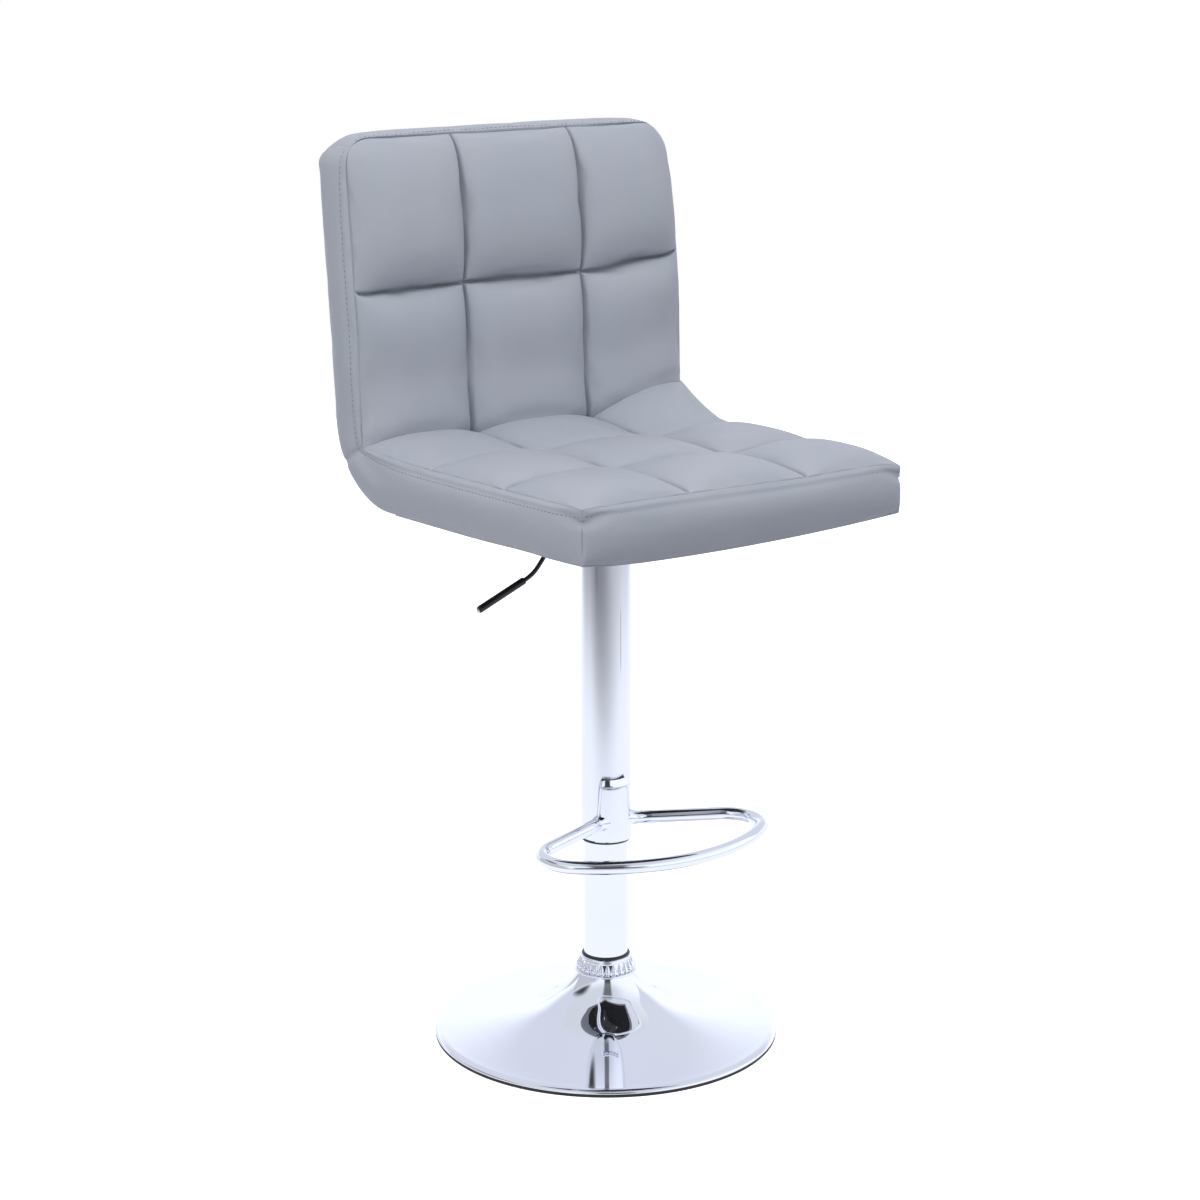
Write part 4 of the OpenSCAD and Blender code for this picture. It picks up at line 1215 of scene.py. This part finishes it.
def make_world():
    """White to the camera. The chrome mirrors it paler behind and to the right, with a dim room ahead."""
    world = bpy.data.worlds.new("studio")
    scene.world = world
    world.use_nodes = True
    tree = world.node_tree
    tree.nodes.clear()
    way = made(tree, "TexCoord", {}, "Generated")
    side = part_along(tree, way, to_side)
    back = part_along(tree, way, to_back)
    up = part_along(tree, way, (0, 0, 1))
    high = product(tree, eased(tree, up, 0.34, 0.7, 0, 0.36), eased(tree, side, 0.35, 0.9, 1, 0.2))
    port = product(tree, eased(tree, side, -0.7, -0.3, 0.5, 0), eased(tree, up, 0.4, 0.5, 1, 0))
    wing = product(tree, eased(tree, side, -0.84, -0.68, 0.8, 0), eased(tree, up, 0.42, 0.52))
    shade = maths(tree, "ADD", maths(tree, "MAXIMUM", high, port), wing)
    room_w = eased(tree, up, 0.2, 0.34, 0.4, 0.19)
    past_room = maths(tree, "SUBTRACT", slanted(tree, side, back, 0.12), room_w)
    room = product(tree, eased(tree, past_room, -0.06, 0.06, 1, 0), eased(tree, back, -0.6, -0.3, 1, 0),
                   eased(tree, up, -0.02, 0.05), eased(tree, up, 0.42, 0.56, 0.95, 0.76))
    grey = less(tree, maths(tree, "SUBTRACT", 1.08, shade), room)
    mirrored = glow(tree, "Background", (1.02, 1.045, 1.14), grey)
    seen = glow(tree, "Background", (1, 1, 1), 1)
    light = glow(tree, "Background", (0.95, 0.97, 1), eased(tree, up, -0.5, 0.8, 0.42, 0.72))
    glossy = light_path_mix(tree, mirrored, light, "Is Glossy Ray")
    shown = light_path_mix(tree, seen, glossy, "Is Camera Ray", "Is Transmission Ray")
    tree.links.new(shown, tree.nodes.new("ShaderNodeOutputWorld").inputs["Surface"])


def area_light(name, place, target, size, power):
    lamp = bpy.data.lights.new(name, "AREA")
    lamp.shape = "SQUARE"
    lamp.size = size
    lamp.energy = power
    lamp.color = (1, 0.99, 0.98)
    piece = linked(name, lamp)
    piece.location = place
    piece.rotation_euler = (Vector(target) - Vector(place)).to_track_quat("-Z", "Y").to_euler()
    piece.visible_glossy = False


def make_screen():
    """Pale grey screen behind the stool, which only the chrome mirrors: its lower part is lit white."""
    shape = bmesh.new()
    bmesh.ops.create_grid(shape, x_segments=1, y_segments=1, size=0.5)
    moved(shape, Matrix.Diagonal((3.4, 1.8, 1, 1)))
    material, tree = new_material("screen_grey", (0.7, 0.7, 0.73), 0.9)
    up = part_along(tree, place_of(tree), (0, 1, 0))
    mirrored = glow(tree, "Emission", (1.06, 1.1, 1.24), eased(tree, up, -0.86, -0.42, 1.06, 0.7))
    tree.links.new(mirrored, tree.nodes["Material Output"].inputs["Surface"])
    screen = stage_object("pale_screen", shape, material)
    screen.location = Vector(to_back) * 0.95 + Vector((0, 0, 1.15))
    screen.rotation_euler = (-Vector(to_back)).to_track_quat("Z", "Y").to_euler()
    screen.visible_camera = False
    screen.visible_diffuse = False
    screen.visible_shadow = False


def make_camera():
    camera = bpy.data.cameras.new("camera")
    camera.lens = 82.34
    camera.sensor_width = 36
    piece = linked("camera", camera)
    piece.location = (-1.830, -2.298, 1.2347)
    piece.rotation_euler = (radians(76.05), 0, radians(-38.403))
    scene.camera = piece


scene.view_settings.view_transform = "Standard"
make_camera()
make_base()
make_collar()
make_dust_ring()
make_footrest()
make_lever()
make_upholstery()
make_hem()
make_stitches()
dress_nodes()
make_floor()
make_world()
make_screen()
area_light("overhead", (-0.2, -0.8, 2.6), (0, 0, 0.7), 1.6, 20)
area_light("fill", (-2.4, -0.6, 1.4), (0, 0, 0.7), 1.4, 15)
